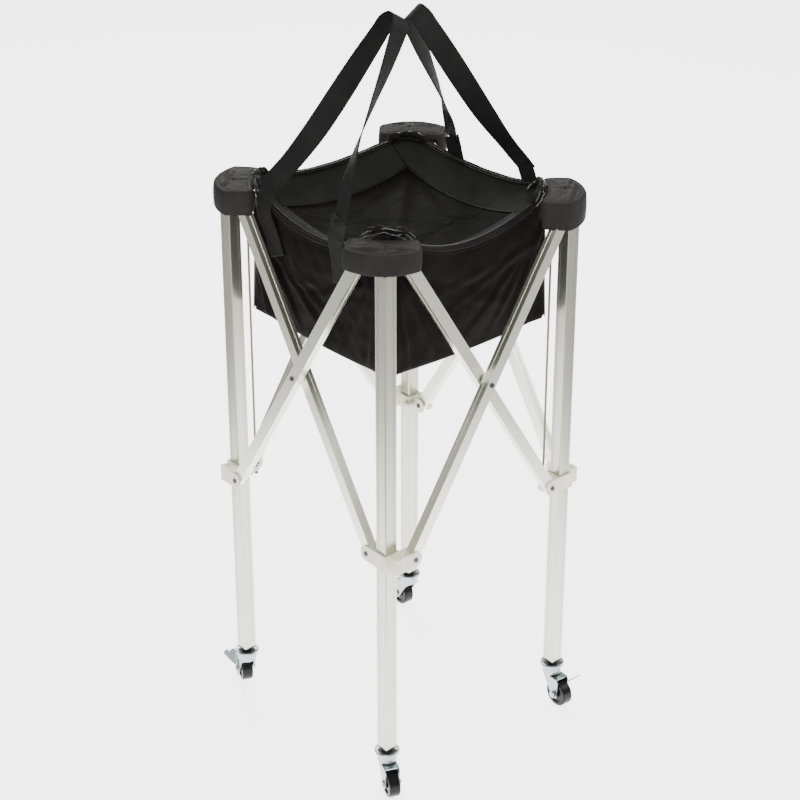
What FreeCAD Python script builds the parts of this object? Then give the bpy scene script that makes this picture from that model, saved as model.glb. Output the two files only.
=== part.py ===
import FreeCAD, Part
import math
import os
import re

import Sketcher
from FreeCAD import Placement, Rotation, Vector

# Folding ball basket on four swivel casters. Millimetres, +Z up.
# The origin is on the floor under the centre of the four legs, and the front side faces -Y.
# Every corner repeats the front left one, turned by a quarter turn about Z.

doc = FreeCAD.newDocument("BallBasket")

SIZES = [
    ("leg_spacing", "400", "between leg axes, along each side"),
    ("leg_width", "25", "square tube"),
    ("leg_wall", "1.6", "tube wall"),
    ("leg_round", "2.5", "outer corner radius"),
    ("leg_channel_width", "11", "shallow channel down each face"),
    ("leg_channel_depth", "0.4", ""),
    ("leg_foot_height", "88", "lower end of the tube above the floor"),
    ("hub_pivot_height", "996", "upper brace pins"),
    ("slider_pivot_height", "466", "lower brace pins, frame open"),
    ("pivot_reach", "33", "brace pin from the leg axis"),
    ("brace_width", "20", "wide side of the brace tube"),
    ("brace_depth", "16", "narrow side of the brace tube"),
    ("brace_wall", "1.5", ""),
    ("brace_groove_width", "3", "groove down the narrow sides"),
    ("brace_groove_depth", "0.7", ""),
    ("bracket_half_height", "14", "sleeve and plates, each way from the pin"),
    ("bracket_plate", "3", "plate beside the brace end"),
    ("bracket_wall", "3.5", "sleeve round the leg"),
    ("bracket_rib", "3", "ribs behind the outer plate"),
    ("bracket_lug", "8", "cord lug on the inner corner"),
    ("hub_top_thickness", "6", "closed end over the tube"),
    ("hub_plate_start", "14", "outer plate begins, beyond the leg axis"),
    ("slide_gap", "0.3", "sleeve to leg"),
    ("plate_gap", "0.3", "brace to plate"),
    ("pin_radius", "3", ""),
    ("pin_clearance", "0.05", "pin in a turning hole"),
    ("seat_clearance", "0.02", "pin in a fixed hole"),
    ("pin_head_radius", "4.2", ""),
    ("pin_head_thickness", "1.6", ""),
    ("cord_radius", "2", "elastic cord"),
    ("cord_knot_radius", "4", ""),
    ("wheel_radius", "25", "50 mm caster wheel"),
    ("wheel_width", "20", "tread"),
    ("wheel_boss_radius", "8", ""),
    ("wheel_boss_proud", "1", "boss beyond the tread, each side"),
    ("wheel_dish_depth", "2", "recess between boss and tread"),
    ("wheel_rim_thickness", "7", "tread ring seen from the side"),
    ("wheel_edge", "1.8", "bevel of the tread"),
    ("axle_radius", "4", ""),
    ("axle_head_radius", "6.2", ""),
    ("axle_head_thickness", "3", ""),
    ("caster_trail", "23", "axle behind the swivel axis"),
    ("fork_plate", "2", "pressed steel"),
    ("fork_gap", "0.4", "wheel boss to fork plate"),
    ("fork_eye_radius", "9", "lower end of the fork plate"),
    ("fork_crown_radius", "17", ""),
    ("fork_crown_height", "60", "underside of the crown above the floor"),
    ("fork_crown_thickness", "14", ""),
    ("fork_bridge_height", "55", "plate over the wheel"),
    ("raceway_radius", "21.5", "ball race over the crown"),
    ("raceway_thickness", "7", ""),
    ("raceway_edge", "2.5", ""),
    ("stem_radius", "5", "swivel stem"),
    ("stem_length", "34", "above the raceway"),
    ("foot_flange", "2.5", "plug flange under the tube"),
    ("foot_plug_length", "30", "plug inside the tube"),
    ("foot_plug_gap", "0.2", "plug to tube"),
    ("foot_neck_radius", "8", "lower end of the tapered neck"),
    ("swivel_gap", "0.3", "raceway to plug"),
    ("brake_plate", "1.6", "spring steel"),
    ("brake_eye_radius", "7.5", ""),
    ("brake_arm_width", "8", ""),
    ("brake_tail_drop", "13", "ring end below the axle"),
    ("brake_tail_radius", "5.2", ""),
    ("brake_tail_hole", "2.4", ""),
    ("brake_bend_back", "1", "foot of the two ears behind the axle"),
    ("brake_bend_rise", "12", "foot of the two ears above the axle"),
    ("brake_ear_back", "14", "round ends of the ears behind the axle"),
    ("brake_ear_rise", "27", "round ends of the ears above the axle"),
    ("brake_ear_radius", "5.5", ""),
    ("brake_foot_radius", "4.5", ""),
    ("brake_ear_spread", "12", "outer ear beyond the inner one"),
    ("cap_half_width", "66", "padded corner cap across the diagonal"),
    ("cap_front", "28", "outwards of the leg axis"),
    ("cap_wall", "3.5", "skirt"),
    ("cap_top_thickness", "7", "padded top"),
    ("cap_skirt_depth", "30", "below the padded top"),
    ("cap_edge", "5", "rounded top edge"),
    ("soft_gap", "0.3", "fabric to its neighbour"),
    ("bag_rim_inset", "12", "rim inside the leg axes"),
    ("bag_floor_inset", "22", "floor inside the leg axes"),
    ("bag_rim_round", "68", "corner radius at the rim"),
    ("bag_floor_round", "12", "corner radius at the floor"),
    ("bag_wall", "2", "fabric"),
    ("bag_corner_rise", "20", "rim at the corners above the hubs"),
    ("bag_depth", "248", "from those corners to the underside"),
    ("bag_sag_depth", "56", "hang of the front and left rims"),
    ("bag_sag_rise", "16", "rear and right rims above the others"),
    ("bag_sag_inset", "50", "sagging stretch inside the leg axes"),
    ("lid_border", "50", "from the rim to the mesh"),
    ("lid_mesh_round", "10", ""),
    ("lid_drop", "12", "mesh below the lowest rim"),
    ("lid_thickness", "2", ""),
    ("lid_edge_drop", "1", "edge of the lid below the rim"),
    ("net_gap_width", "17", "square gap of the net"),
    ("net_gap_count", "12", "gaps along a side"),
    ("strap_width", "38", "webbing"),
    ("strap_thickness", "2", ""),
    ("strap_half_spread", "98", "strap ends either side of their middle"),
    ("strap_shift", "14", "middle of the ends off the middle of the side"),
    ("strap_waist", "42", "half spread of the loop at mid height"),
    ("strap_tail", "122", "sewn end below the turning line"),
    ("strap_reach", "288", "top of the loops above the rim's corners"),
    ("strap_peak_round", "17", "half width of the rounded peak"),
    ("strap_peak_shift", "16", "both peaks off the middle, towards the front"),
    ("strap_meet_gap", "0.6", "between the two loops"),
]

DERIVED = [
    ("sleeve_half", "leg_width / 2 + slide_gap + bracket_wall"),
    ("inner_face_out", "sleeve_half - bracket_plate - plate_gap"),
    ("inner_face_in", "inner_face_out - brace_depth"),
    ("outer_face_in", "sleeve_half + plate_gap"),
    ("outer_face_out", "outer_face_in + brace_depth"),
    ("brace_run", "leg_spacing - 2 * pivot_reach"),
    ("brace_rise", "hub_pivot_height - slider_pivot_height"),
    ("brace_reach", "sqrt(brace_run * brace_run + brace_rise * brace_rise)"),
    ("hub_top", "hub_pivot_height + bracket_half_height"),
    ("leg_top", "hub_top - hub_top_thickness"),
    ("lug_far", "sleeve_half + bracket_lug"),
    ("lug_middle", "sleeve_half + bracket_lug / 2"),
    ("lug_half_height", "bracket_lug / 2"),
    ("boss_half", "wheel_width / 2 + wheel_boss_proud"),
    ("fork_in", "boss_half + fork_gap"),
    ("fork_out", "fork_in + fork_plate"),
    ("raceway_bottom", "fork_crown_height + fork_crown_thickness"),
    ("raceway_top", "raceway_bottom + raceway_thickness"),
    ("foot_bottom", "raceway_top + swivel_gap"),
    ("brake_in", "fork_out + plate_gap"),
    ("brake_out", "brake_in + brake_plate"),
    ("cap_inside", "hub_top + soft_gap"),
    ("cap_top", "cap_inside + cap_top_thickness"),
    ("cap_bottom", "cap_inside - cap_skirt_depth"),
    ("bag_rim_half", "leg_spacing / 2 - bag_rim_inset"),
    ("bag_floor_half", "leg_spacing / 2 - bag_floor_inset"),
    ("bag_sag_half_span", "leg_spacing / 2 - bag_sag_inset"),
    ("lid_mesh_half", "bag_rim_half - lid_border"),
    ("bag_corner_height", "hub_top + bag_corner_rise"),
    ("bag_floor_height", "bag_corner_height - bag_depth"),
    ("bag_sag_height", "bag_corner_height - bag_sag_depth"),
    ("net_height", "bag_sag_height - lid_drop"),
    ("strap_peak_height", "bag_corner_height + strap_reach"),
]

EXPORT = []


def fill_sheets():
    """Driving sizes as plain numbers in one sheet, formulas on them in a second."""
    sizes = doc.addObject("Spreadsheet::Sheet", "Sizes")
    for row, (name, number, note) in enumerate(SIZES, 1):
        sizes.set(f"A{row}", name)
        sizes.set(f"B{row}", number)
        sizes.set(f"C{row}", note)
        sizes.setAlias(f"B{row}", name)
    derived = doc.addObject("Spreadsheet::Sheet", "Derived")
    for row, (name, text) in enumerate(DERIVED, 1):
        derived.set(f"A{row}", name)
        derived.setAlias(f"B{row}", name)
        derived.set(f"B{row}", "=" + formula(text))
    doc.recompute()
    return sizes, derived


def formula(text):
    """Put the sheet's name before each alias in a formula."""
    driving = {name for name, _, _ in SIZES}
    worked_out = {name for name, _ in DERIVED}

    def place(match):
        word = match.group()
        if word in driving:
            return "Sizes." + word
        return "Derived." + word if word in worked_out else word

    return re.sub(r"[a-z][a-z0-9_]*", place, text)


sizes_sheet, derived_sheet = fill_sheets()
VALUES = {name: float(sizes_sheet.get(name)) for name, _, _ in SIZES}
VALUES.update({name: float(derived_sheet.get(name)) for name, _ in DERIVED})


def size(name):
    return VALUES[name]


def bind(item, **formulas):
    """Tie properties to the sheets; x, y and z are the placement's base."""
    for name, text in formulas.items():
        path = f".Placement.Base.{name}" if name in "xyz" else name
        item.setExpression(path, formula(str(text)))
    return item


def box(name, x, y, z):
    """A box from (low, high) formulas along each axis."""
    item = doc.addObject("Part::Box", name)
    spans = {"Length": x, "Width": y, "Height": z}
    bind(item, **{key: f"({high}) - ({low})" for key, (low, high) in spans.items()})
    return bind(item, x=x[0], y=y[0], z=z[0])


def cylinder(name, radius, start, length, x="0", y="0", z="0", axis="z"):
    """A cylinder along one axis, from start and of the given length."""
    item = doc.addObject("Part::Cylinder", name)
    turns = {
        "x": Rotation(Vector(0, 1, 0), 90),
        "y": Rotation(Vector(1, 0, 0), -90),
        "z": Rotation(),
    }
    item.Placement = Placement(Vector(), turns[axis])
    base = {"x": x, "y": y, "z": z}
    base[axis] = start
    return bind(item, Radius=radius, Height=length, **base)


def fuse(name, items):
    item = doc.addObject("Part::MultiFuse", name)
    item.Shapes = items
    item.Refine = True
    return item


def cut(name, base, tool):
    item = doc.addObject("Part::Cut", name)
    item.Base = base
    item.Tool = tool
    item.Refine = True
    return item


def feature(name, shape):
    item = doc.addObject("Part::Feature", name)
    item.Shape = shape
    return item


def finish(item, label, placement=None):
    """Name a sub-part, put it in its place and list it for the export."""
    item.Label = label
    if placement is not None:
        item.Placement = placement.multiply(item.Placement)
    EXPORT.append(item)
    return item


CORNERS = ["front_left", "front_right", "rear_right", "rear_left"]
SIDES = ["front", "right", "rear", "left"]
QUARTER_TURN = 90


def at_corner(index):
    """From the front left corner's own frame, on the leg's axis, to a corner of the frame."""
    half = size("leg_spacing") / 2
    turn = Placement(Vector(), Rotation(Vector(0, 0, 1), QUARTER_TURN * index))
    return turn.multiply(Placement(Vector(-half, -half, 0), Rotation()))


def origin_plane(body, role):
    return next(part for part in body.Origin.OriginFeatures if part.Role == role)


def new_sketch(body, name, role):
    sketch = body.newObject("Sketcher::SketchObject", name)
    sketch.AttachmentSupport = [(origin_plane(body, role), "")]
    sketch.MapMode = "FlatFace"
    return sketch


def sketch_rectangle(sketch, width, height, across="0", up="0"):
    """A rectangle centred on the point (across, up), all four held by formulas."""
    half = 0.5
    corners = [Vector(-half, -half), Vector(half, -half), Vector(half, half), Vector(-half, half)]
    first = sketch.GeometryCount
    for here, there in zip(corners, corners[1:] + corners[:1]):
        sketch.addGeometry(Part.LineSegment(here, there))
    for step in range(4):
        sketch.addConstraint(
            Sketcher.Constraint("Coincident", first + step, 2, first + (step + 1) % 4, 1)
        )
    for line, kind in enumerate(("Horizontal", "Vertical", "Horizontal", "Vertical")):
        sketch.addConstraint(Sketcher.Constraint(kind, first + line))
    held = [
        ("DistanceX", first, 1, first, 2, width),
        ("DistanceY", first + 1, 1, first + 1, 2, height),
        ("DistanceX", -1, 1, first + 1, 2, f"({across}) + ({width}) / 2"),
        ("DistanceY", -1, 1, first + 1, 2, f"({up}) + ({height}) / 2"),
    ]
    for kind, item_a, end_a, item_b, end_b, text in held:
        row = sketch.addConstraint(Sketcher.Constraint(kind, item_a, end_a, item_b, end_b, 1.0))
        sketch.setExpression(f"Constraints[{row}]", formula(text))
    return first


def sketch_circle(sketch, radius, across="0", up="0"):
    """A circle whose radius and centre are held by formulas."""
    item = sketch.addGeometry(Part.Circle(Vector(1, 1, 0), Vector(0, 0, 1), 1))
    row = sketch.addConstraint(Sketcher.Constraint("Radius", item, 1.0))
    sketch.setExpression(f"Constraints[{row}]", formula(radius))
    for kind, text in (("DistanceX", across), ("DistanceY", up)):
        if text == "0":
            on_axis = "PointOnObject"
            sketch.addConstraint(Sketcher.Constraint(on_axis, item, 3, -2 if kind[-1] == "X" else -1))
            continue
        row = sketch.addConstraint(Sketcher.Constraint(kind, -1, 1, item, 3, 1.0))
        sketch.setExpression(f"Constraints[{row}]", formula(text))
    return item


def pad(body, name, sketch, length, midplane=False):
    item = body.newObject("PartDesign::Pad", name)
    item.Profile = sketch
    item.SideType = "Symmetric" if midplane else "One side"
    bind(item, Length=length)
    return item


def pocket_through(body, name, sketch):
    item = body.newObject("PartDesign::Pocket", name)
    item.Profile = sketch
    item.Type = "ThroughAll"
    item.SideType = "Symmetric"
    return item


def make_leg(index):
    """Square tube with rounded corners and a shallow channel down each face."""
    corner = CORNERS[index]
    body = doc.addObject("PartDesign::Body", f"leg_{corner}_body")
    outline = new_sketch(body, f"leg_{corner}_outline", "XY_Plane")
    sketch_rectangle(outline, "leg_width", "leg_width")
    tube = pad(body, f"leg_{corner}_pad", outline, "leg_top - leg_foot_height")
    doc.recompute()
    upright = [
        f"Edge{number}"
        for number, edge in enumerate(tube.Shape.Edges, 1)
        if abs(edge.tangentAt(edge.FirstParameter).z) > 0.5
    ]
    rounds = body.newObject("PartDesign::Fillet", f"leg_{corner}_rounds")
    rounds.Base = (tube, upright)
    bind(rounds, Radius="leg_round")
    hollow = new_sketch(body, f"leg_{corner}_hollow", "XY_Plane")
    sketch_rectangle(hollow, "leg_width - 2 * leg_wall", "leg_width - 2 * leg_wall")
    pocket_through(body, f"leg_{corner}_bore", hollow)
    channels = new_sketch(body, f"leg_{corner}_channels", "XY_Plane")
    middle = "leg_width / 2"
    deep = "2 * leg_channel_depth"
    for sign in ("-", ""):
        sketch_rectangle(channels, "leg_channel_width", deep, up=sign + middle)
        sketch_rectangle(channels, deep, "leg_channel_width", across=sign + middle)
    pocket_through(body, f"leg_{corner}_channel_cut", channels)
    body.Placement = Placement(Vector(0, 0, size("leg_foot_height")), Rotation())
    finish(body, f"leg_{corner}", at_corner(index))


def make_brace(index, layer):
    """Brace tube between two pins, drawn along X about its crossing hole."""
    name = f"brace_{SIDES[index]}_{layer}"
    body = doc.addObject("PartDesign::Body", f"{name}_body")
    outline = new_sketch(body, f"{name}_outline", "XZ_Plane")
    sketch_rectangle(outline, "brace_reach", "brace_width")
    pad(body, f"{name}_pad", outline, "brace_depth", midplane=True)
    for end, sign in (("low", "-"), ("high", "")):
        round_end = new_sketch(body, f"{name}_{end}_end", "XZ_Plane")
        sketch_circle(round_end, "brace_width / 2", across=f"{sign}brace_reach / 2")
        pad(body, f"{name}_{end}_pad", round_end, "brace_depth", midplane=True)
    hollow = new_sketch(body, f"{name}_hollow", "YZ_Plane")
    inside = "2 * brace_wall"
    sketch_rectangle(hollow, f"brace_depth - {inside}", f"brace_width - {inside}")
    pocket_through(body, f"{name}_bore", hollow)
    grooves = new_sketch(body, f"{name}_grooves", "YZ_Plane")
    for sign in ("-", ""):
        edge = f"{sign}brace_width / 2"
        sketch_rectangle(grooves, "brace_groove_width", "2 * brace_groove_depth", up=edge)
    pocket_through(body, f"{name}_groove_cut", grooves)
    holes = new_sketch(body, f"{name}_holes", "XZ_Plane")
    for along in ("-brace_reach / 2", "0", "brace_reach / 2"):
        fixed = along == "0" and layer == "outer"
        clearance = "seat_clearance" if fixed else "pin_clearance"
        sketch_circle(holes, f"pin_radius + {clearance}", across=along)
    pocket_through(body, f"{name}_hole_cut", holes)
    slope = math.degrees(math.atan2(size("brace_rise"), size("brace_run")))
    inner = layer == "inner"
    face = size("inner_face_in") if inner else size("outer_face_in")
    out = size("leg_spacing") / 2 + face + size("brace_depth") / 2
    height = (size("hub_pivot_height") + size("slider_pivot_height")) / 2
    tilt = Rotation(Vector(0, 1, 0), slope if inner else -slope)
    side_turn = Placement(Vector(), Rotation(Vector(0, 0, 1), QUARTER_TURN * index))
    finish(body, name, side_turn.multiply(Placement(Vector(0, -out, height), tilt)))


def arm_box(name, arm, along, out, up):
    """A box on an arm: along the arm, outwards of the leg's axis, and up."""
    low, high = out
    across = (f"-({high})", f"-({low})")
    if arm == "x":
        return box(name, along, across, up)
    return box(name, across, along, up)


def arm_round(name, arm, radius, out, height):
    """A cylinder across an arm, centred on its pin."""
    low, high = out
    length = f"({high}) - ({low})"
    if arm == "x":
        return cylinder(name, radius, f"-({high})", length, x="pivot_reach", z=height, axis="y")
    return cylinder(name, radius, f"-({high})", length, y="pivot_reach", z=height, axis="x")


def make_bracket(index, kind):
    """Sleeve on the leg with two arms, each a pair of plates round a brace end.

    The inner brace sits level with the sleeve and the outer one outside it. On a
    slider the outer arm lies along X, and on a hub along Y, in the corner's frame.
    """
    name = f"{kind}_{CORNERS[index]}"
    is_hub = kind == "hub"
    pivot = "hub_pivot_height" if is_hub else "slider_pivot_height"
    low = f"{pivot} - bracket_half_height"
    high = f"{pivot} + bracket_half_height"
    arms = {"outer": "y", "inner": "x"} if is_hub else {"outer": "x", "inner": "y"}
    square = ("-sleeve_half", "sleeve_half")
    solids = [box(f"{name}_sleeve", square, square, (low, "hub_top" if is_hub else high))]
    near_plate = ("sleeve_half - bracket_plate", "sleeve_half")
    back_plate = ("inner_face_in - plate_gap - bracket_plate", "inner_face_in - plate_gap")
    far_plate = ("outer_face_out + plate_gap", "outer_face_out + plate_gap + bracket_plate")
    rib_starts = ["hub_plate_start"] if is_hub else ["-sleeve_half / 2", "sleeve_half / 2 - bracket_rib / 2"]
    plates = [("inner", near_plate), ("inner", back_plate), ("outer", near_plate), ("outer", far_plate)]
    for number, (layer, out) in enumerate(plates):
        arm = arms[layer]
        start = rib_starts[0] if out is far_plate else "0"
        solids.append(arm_box(f"{name}_plate{number}", arm, (start, "pivot_reach"), out, (low, high)))
        solids.append(arm_round(f"{name}_tip{number}", arm, "bracket_half_height", out, pivot))
    rib_span = ("sleeve_half", "outer_face_out + plate_gap")
    for number, start in enumerate(rib_starts):
        along = (start, f"{start} + bracket_rib")
        solids.append(arm_box(f"{name}_rib{number}", arms["outer"], along, rib_span, (low, high)))
    lug = ("sleeve_half / 2", "lug_far")
    lug_up = (f"{pivot} - lug_half_height", f"{pivot} + lug_half_height")
    solids.append(box(f"{name}_lug", lug, lug, lug_up))
    whole = fuse(f"{name}_solid", solids)
    hole = "leg_width / 2 + slide_gap"
    bore_top = "leg_top" if is_hub else high
    square_hole = (f"-({hole})", hole)
    tools = [box(f"{name}_bore", square_hole, square_hole, (low, bore_top))]
    pin_hole = "pin_radius + seat_clearance"
    for layer, arm in arms.items():
        reach = ("-sleeve_half", "outer_face_out + 2 * bracket_plate")
        if layer == "inner":
            reach = ("-sleeve_half", "sleeve_half")
        tools.append(arm_round(f"{name}_{layer}_hole", arm, pin_hole, reach, pivot))
    cord_hole = "cord_radius + plate_gap"
    tools.append(
        cylinder(
            f"{name}_cord_hole",
            cord_hole,
            f"{pivot} - bracket_lug",
            "2 * bracket_lug",
            x="lug_middle",
            y="lug_middle",
        )
    )
    finish(cut(f"{name}_part", whole, fuse(f"{name}_cuts", tools)), name, at_corner(index))


def rivet(name, axis, start, end, **base):
    """A straight shank with a domed head at each end, as one solid."""
    shank = cylinder(f"{name}_shank", "pin_radius", start, f"({end}) - ({start})", axis=axis, **base)
    heads = []
    for part, at in (("low", f"{start} - pin_head_thickness"), ("high", end)):
        heads.append(
            cylinder(f"{name}_{part}", "pin_head_radius", at, "pin_head_thickness", axis=axis, **base)
        )
    return fuse(name, [shank] + heads)


def make_bracket_pins(index, kind):
    """The two brace pins of a hub or slider, one through each arm."""
    name = f"{kind}_pins_{CORNERS[index]}"
    is_hub = kind == "hub"
    pivot = "hub_pivot_height" if is_hub else "slider_pivot_height"
    arms = {"outer": "y", "inner": "x"} if is_hub else {"outer": "x", "inner": "y"}
    spans = {
        "inner": ("inner_face_in - plate_gap - bracket_plate", "sleeve_half"),
        "outer": ("sleeve_half - bracket_plate", "outer_face_out + plate_gap + bracket_plate"),
    }
    pins = []
    for layer, arm in arms.items():
        low, high = spans[layer]
        across, along = ("y", "x") if arm == "x" else ("x", "y")
        base = {along: "pivot_reach", "z": pivot}
        pins.append(rivet(f"{name}_{layer}", across, f"-({high})", f"-({low})", **base))
    group = doc.addObject("Part::Compound", f"{name}_group")
    group.Links = pins
    finish(group, name, at_corner(index))


def make_crossing_rivet(index):
    """Rivet through both braces of a side, with the collar that keeps them apart."""
    name = f"crossing_rivet_{SIDES[index]}"
    height = "(hub_pivot_height + slider_pivot_height) / 2"
    inside = "leg_spacing / 2 + inner_face_in - pin_clearance"
    outside = "leg_spacing / 2 + outer_face_out"
    shank = rivet(f"{name}_shank", "y", f"-({outside})", f"-({inside})", z=height)
    collar_length = "outer_face_in - inner_face_out - pin_clearance"
    collar_start = "-(leg_spacing / 2 + outer_face_in)"
    collar = cylinder(
        f"{name}_collar", "pin_head_radius", collar_start, collar_length, z=height, axis="y"
    )
    turn = Placement(Vector(), Rotation(Vector(0, 0, 1), QUARTER_TURN * index))
    finish(fuse(f"{name}_solid", [shank, collar]), name, turn)


def make_foot(index):
    """Plastic plug in the tube's lower end, with the neck that the caster stem turns in."""
    name = f"foot_{CORNERS[index]}"
    half = "leg_width / 2"
    inside = "leg_width / 2 - leg_wall - foot_plug_gap"
    square = (f"-({half})", half)
    plug = (f"-({inside})", inside)
    flange_low = "leg_foot_height - foot_flange"
    parts = [
        box(f"{name}_flange", square, square, (flange_low, "leg_foot_height")),
        box(f"{name}_plug", plug, plug, ("leg_foot_height", "leg_foot_height + foot_plug_length")),
    ]
    neck = doc.addObject("Part::Cone", f"{name}_neck")
    bind(neck, Radius1="foot_neck_radius", Radius2=half, Height=f"{flange_low} - foot_bottom")
    bind(neck, z="foot_bottom")
    solid = fuse(f"{name}_solid", parts + [neck])
    bore_length = "stem_length + swivel_gap"
    bore = cylinder(f"{name}_bore", "stem_radius + pin_clearance", "foot_bottom", bore_length)
    finish(cut(f"{name}_part", solid, bore), name, at_corner(index))


CASTER_TURNS = {
    "front_left": -113,
    "front_right": -94,
    "rear_right": 85,
    "rear_left": 66,
}


def at_caster(index):
    """From the caster's own frame, trailing towards +X, to its place under a leg."""
    corner = CORNERS[index]
    seat = at_corner(index).Base
    return Placement(seat, Rotation(Vector(0, 0, 1), CASTER_TURNS[corner]))


def fork_plate_face():
    """One side of the fork: wide at the crown, narrowing to a round eye at the axle."""
    trail = size("caster_trail")
    axle = size("wheel_radius")
    eye = size("fork_eye_radius")
    top = size("raceway_bottom")
    crown = size("fork_crown_radius") * math.cos(math.asin(size("fork_out") / size("fork_crown_radius")))
    shoulder = size("fork_crown_height")
    bridge = size("fork_bridge_height") + size("fork_plate")
    front_share, back_share = 0.8, 0.6
    low = Vector(trail, 0, axle - eye)
    front_in = Vector(trail - eye * front_share, 0, axle - eye * back_share)
    back_in = Vector(trail + eye * front_share, 0, axle - eye * back_share)
    front_top = Vector(-crown, 0, top)
    front_knee = Vector(-crown, 0, shoulder)
    back_knee = Vector(trail + eye, 0, shoulder - eye)
    back_bridge = Vector(trail + eye / 2, 0, bridge)
    back_foot = Vector(crown, 0, bridge)
    back_top = Vector(crown, 0, top)
    edges = [
        Part.Arc(front_in, low, back_in).toShape(),
        Part.LineSegment(back_in, back_knee).toShape(),
        Part.LineSegment(back_knee, back_bridge).toShape(),
        Part.LineSegment(back_bridge, back_foot).toShape(),
        Part.LineSegment(back_foot, back_top).toShape(),
        Part.LineSegment(back_top, front_top).toShape(),
        Part.LineSegment(front_top, front_knee).toShape(),
        Part.LineSegment(front_knee, front_in).toShape(),
    ]
    return Part.Face(Part.Wire(edges))


def make_fork(index):
    """Pressed steel fork: crown, ball race and stem over two plates."""
    name = f"caster_fork_{CORNERS[index]}"
    face = fork_plate_face()
    plates = []
    for sign in (-1, 1):
        start = size("fork_in") if sign > 0 else -size("fork_out")
        side = "left" if sign > 0 else "right"
        plate = face.copy()
        plate.translate(Vector(0, start, 0))
        plates.append(feature(f"{name}_{side}_plate", plate.extrude(Vector(0, size("fork_plate"), 0))))
    crown = cylinder(f"{name}_crown", "fork_crown_radius", "fork_crown_height", "fork_crown_thickness")
    race = cylinder(f"{name}_race", "raceway_radius", "raceway_bottom", "raceway_thickness")
    rounded = doc.addObject("Part::Fillet", f"{name}_race_round")
    rounded.Base = race
    doc.recompute()
    radius = size("raceway_edge")
    rims = [
        number
        for number, edge in enumerate(race.Shape.Edges, 1)
        if edge.isClosed() and abs(edge.CenterOfMass.x) < size("plate_gap")
    ]
    rounded.Edges = [(number, radius, radius) for number in rims]
    stem = cylinder(f"{name}_stem", "stem_radius", "raceway_bottom", "raceway_thickness + stem_length")
    bridge = box(
        f"{name}_bridge",
        ("-fork_crown_radius / 2", "caster_trail + fork_eye_radius / 2"),
        ("-fork_out", "fork_out"),
        ("fork_bridge_height", "fork_bridge_height + fork_plate"),
    )
    solid = fuse(f"{name}_solid", plates + [crown, bridge, rounded, stem])
    hole = cylinder(
        f"{name}_hole",
        "axle_radius + seat_clearance",
        "-2 * fork_out",
        "4 * fork_out",
        x="caster_trail",
        z="wheel_radius",
        axis="y",
    )
    finish(cut(f"{name}_part", solid, hole), name, at_caster(index))


def make_wheel(index):
    """Moulded wheel: bevelled tread, dished sides and a boss, turned about its axle."""
    name = f"caster_wheel_{CORNERS[index]}"
    radius = size("wheel_radius")
    half = size("wheel_width") / 2
    boss_half = size("boss_half")
    bore = size("axle_radius") + size("pin_clearance")
    boss = size("wheel_boss_radius")
    rim = radius - size("wheel_rim_thickness")
    dish = half - size("wheel_dish_depth")
    edge = size("wheel_edge")
    one_side = [
        (bore, boss_half),
        (boss, boss_half),
        (boss, dish),
        (rim, dish),
        (rim, half),
        (radius - edge, half),
        (radius, half - edge),
    ]
    outline = one_side + [(across, -along) for across, along in reversed(one_side)]
    points = [Vector(across, along, 0) for across, along in outline]
    wire = Part.makePolygon(points + points[:1])
    solid = Part.Face(wire).revolve(Vector(), Vector(0, 1, 0), 360)
    item = feature(f"{name}_turned", solid)
    hub = Placement(Vector(size("caster_trail"), 0, radius), Rotation())
    finish(item, name, at_caster(index).multiply(hub))


def make_axle(index):
    """Axle bolt through fork and wheel, with a head at one end and a nut at the other."""
    name = f"caster_axle_{CORNERS[index]}"
    base = {"x": "caster_trail", "z": "wheel_radius"}
    far = "brake_out + plate_gap" if CORNERS[index] in BRAKED else "fork_out"
    shank = cylinder(f"{name}_shank", "axle_radius", f"-({far})", f"2 * ({far})", axis="y", **base)
    head_start = f"-({far} + axle_head_thickness)"
    head = cylinder(f"{name}_head", "axle_head_radius", head_start, "axle_head_thickness", axis="y", **base)
    nut = doc.addObject("Part::Prism", f"{name}_nut")
    nut.Polygon = 6
    nut.Placement = Placement(Vector(), Rotation(Vector(1, 0, 0), -90))
    bind(nut, Circumradius="axle_head_radius", Height="axle_head_thickness", y=far, **base)
    finish(fuse(f"{name}_solid", [shank, head, nut]), name, at_caster(index))


BRAKED = ["rear_left", "front_right"]


def link_face(start, end, start_radius, end_radius, normal):
    """Flat link between two round ends, in the plane across the normal."""
    along = (end - start).normalize()
    across = normal.cross(along)
    near, far = across * start_radius, across * end_radius
    edges = [
        Part.Arc(start + near, start - along * start_radius, start - near).toShape(),
        Part.LineSegment(start - near, end - far).toShape(),
        Part.Arc(end - far, end + along * end_radius, end + far).toShape(),
        Part.LineSegment(end + far, start + near).toShape(),
    ]
    return Part.Face(Part.Wire(edges))


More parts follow.
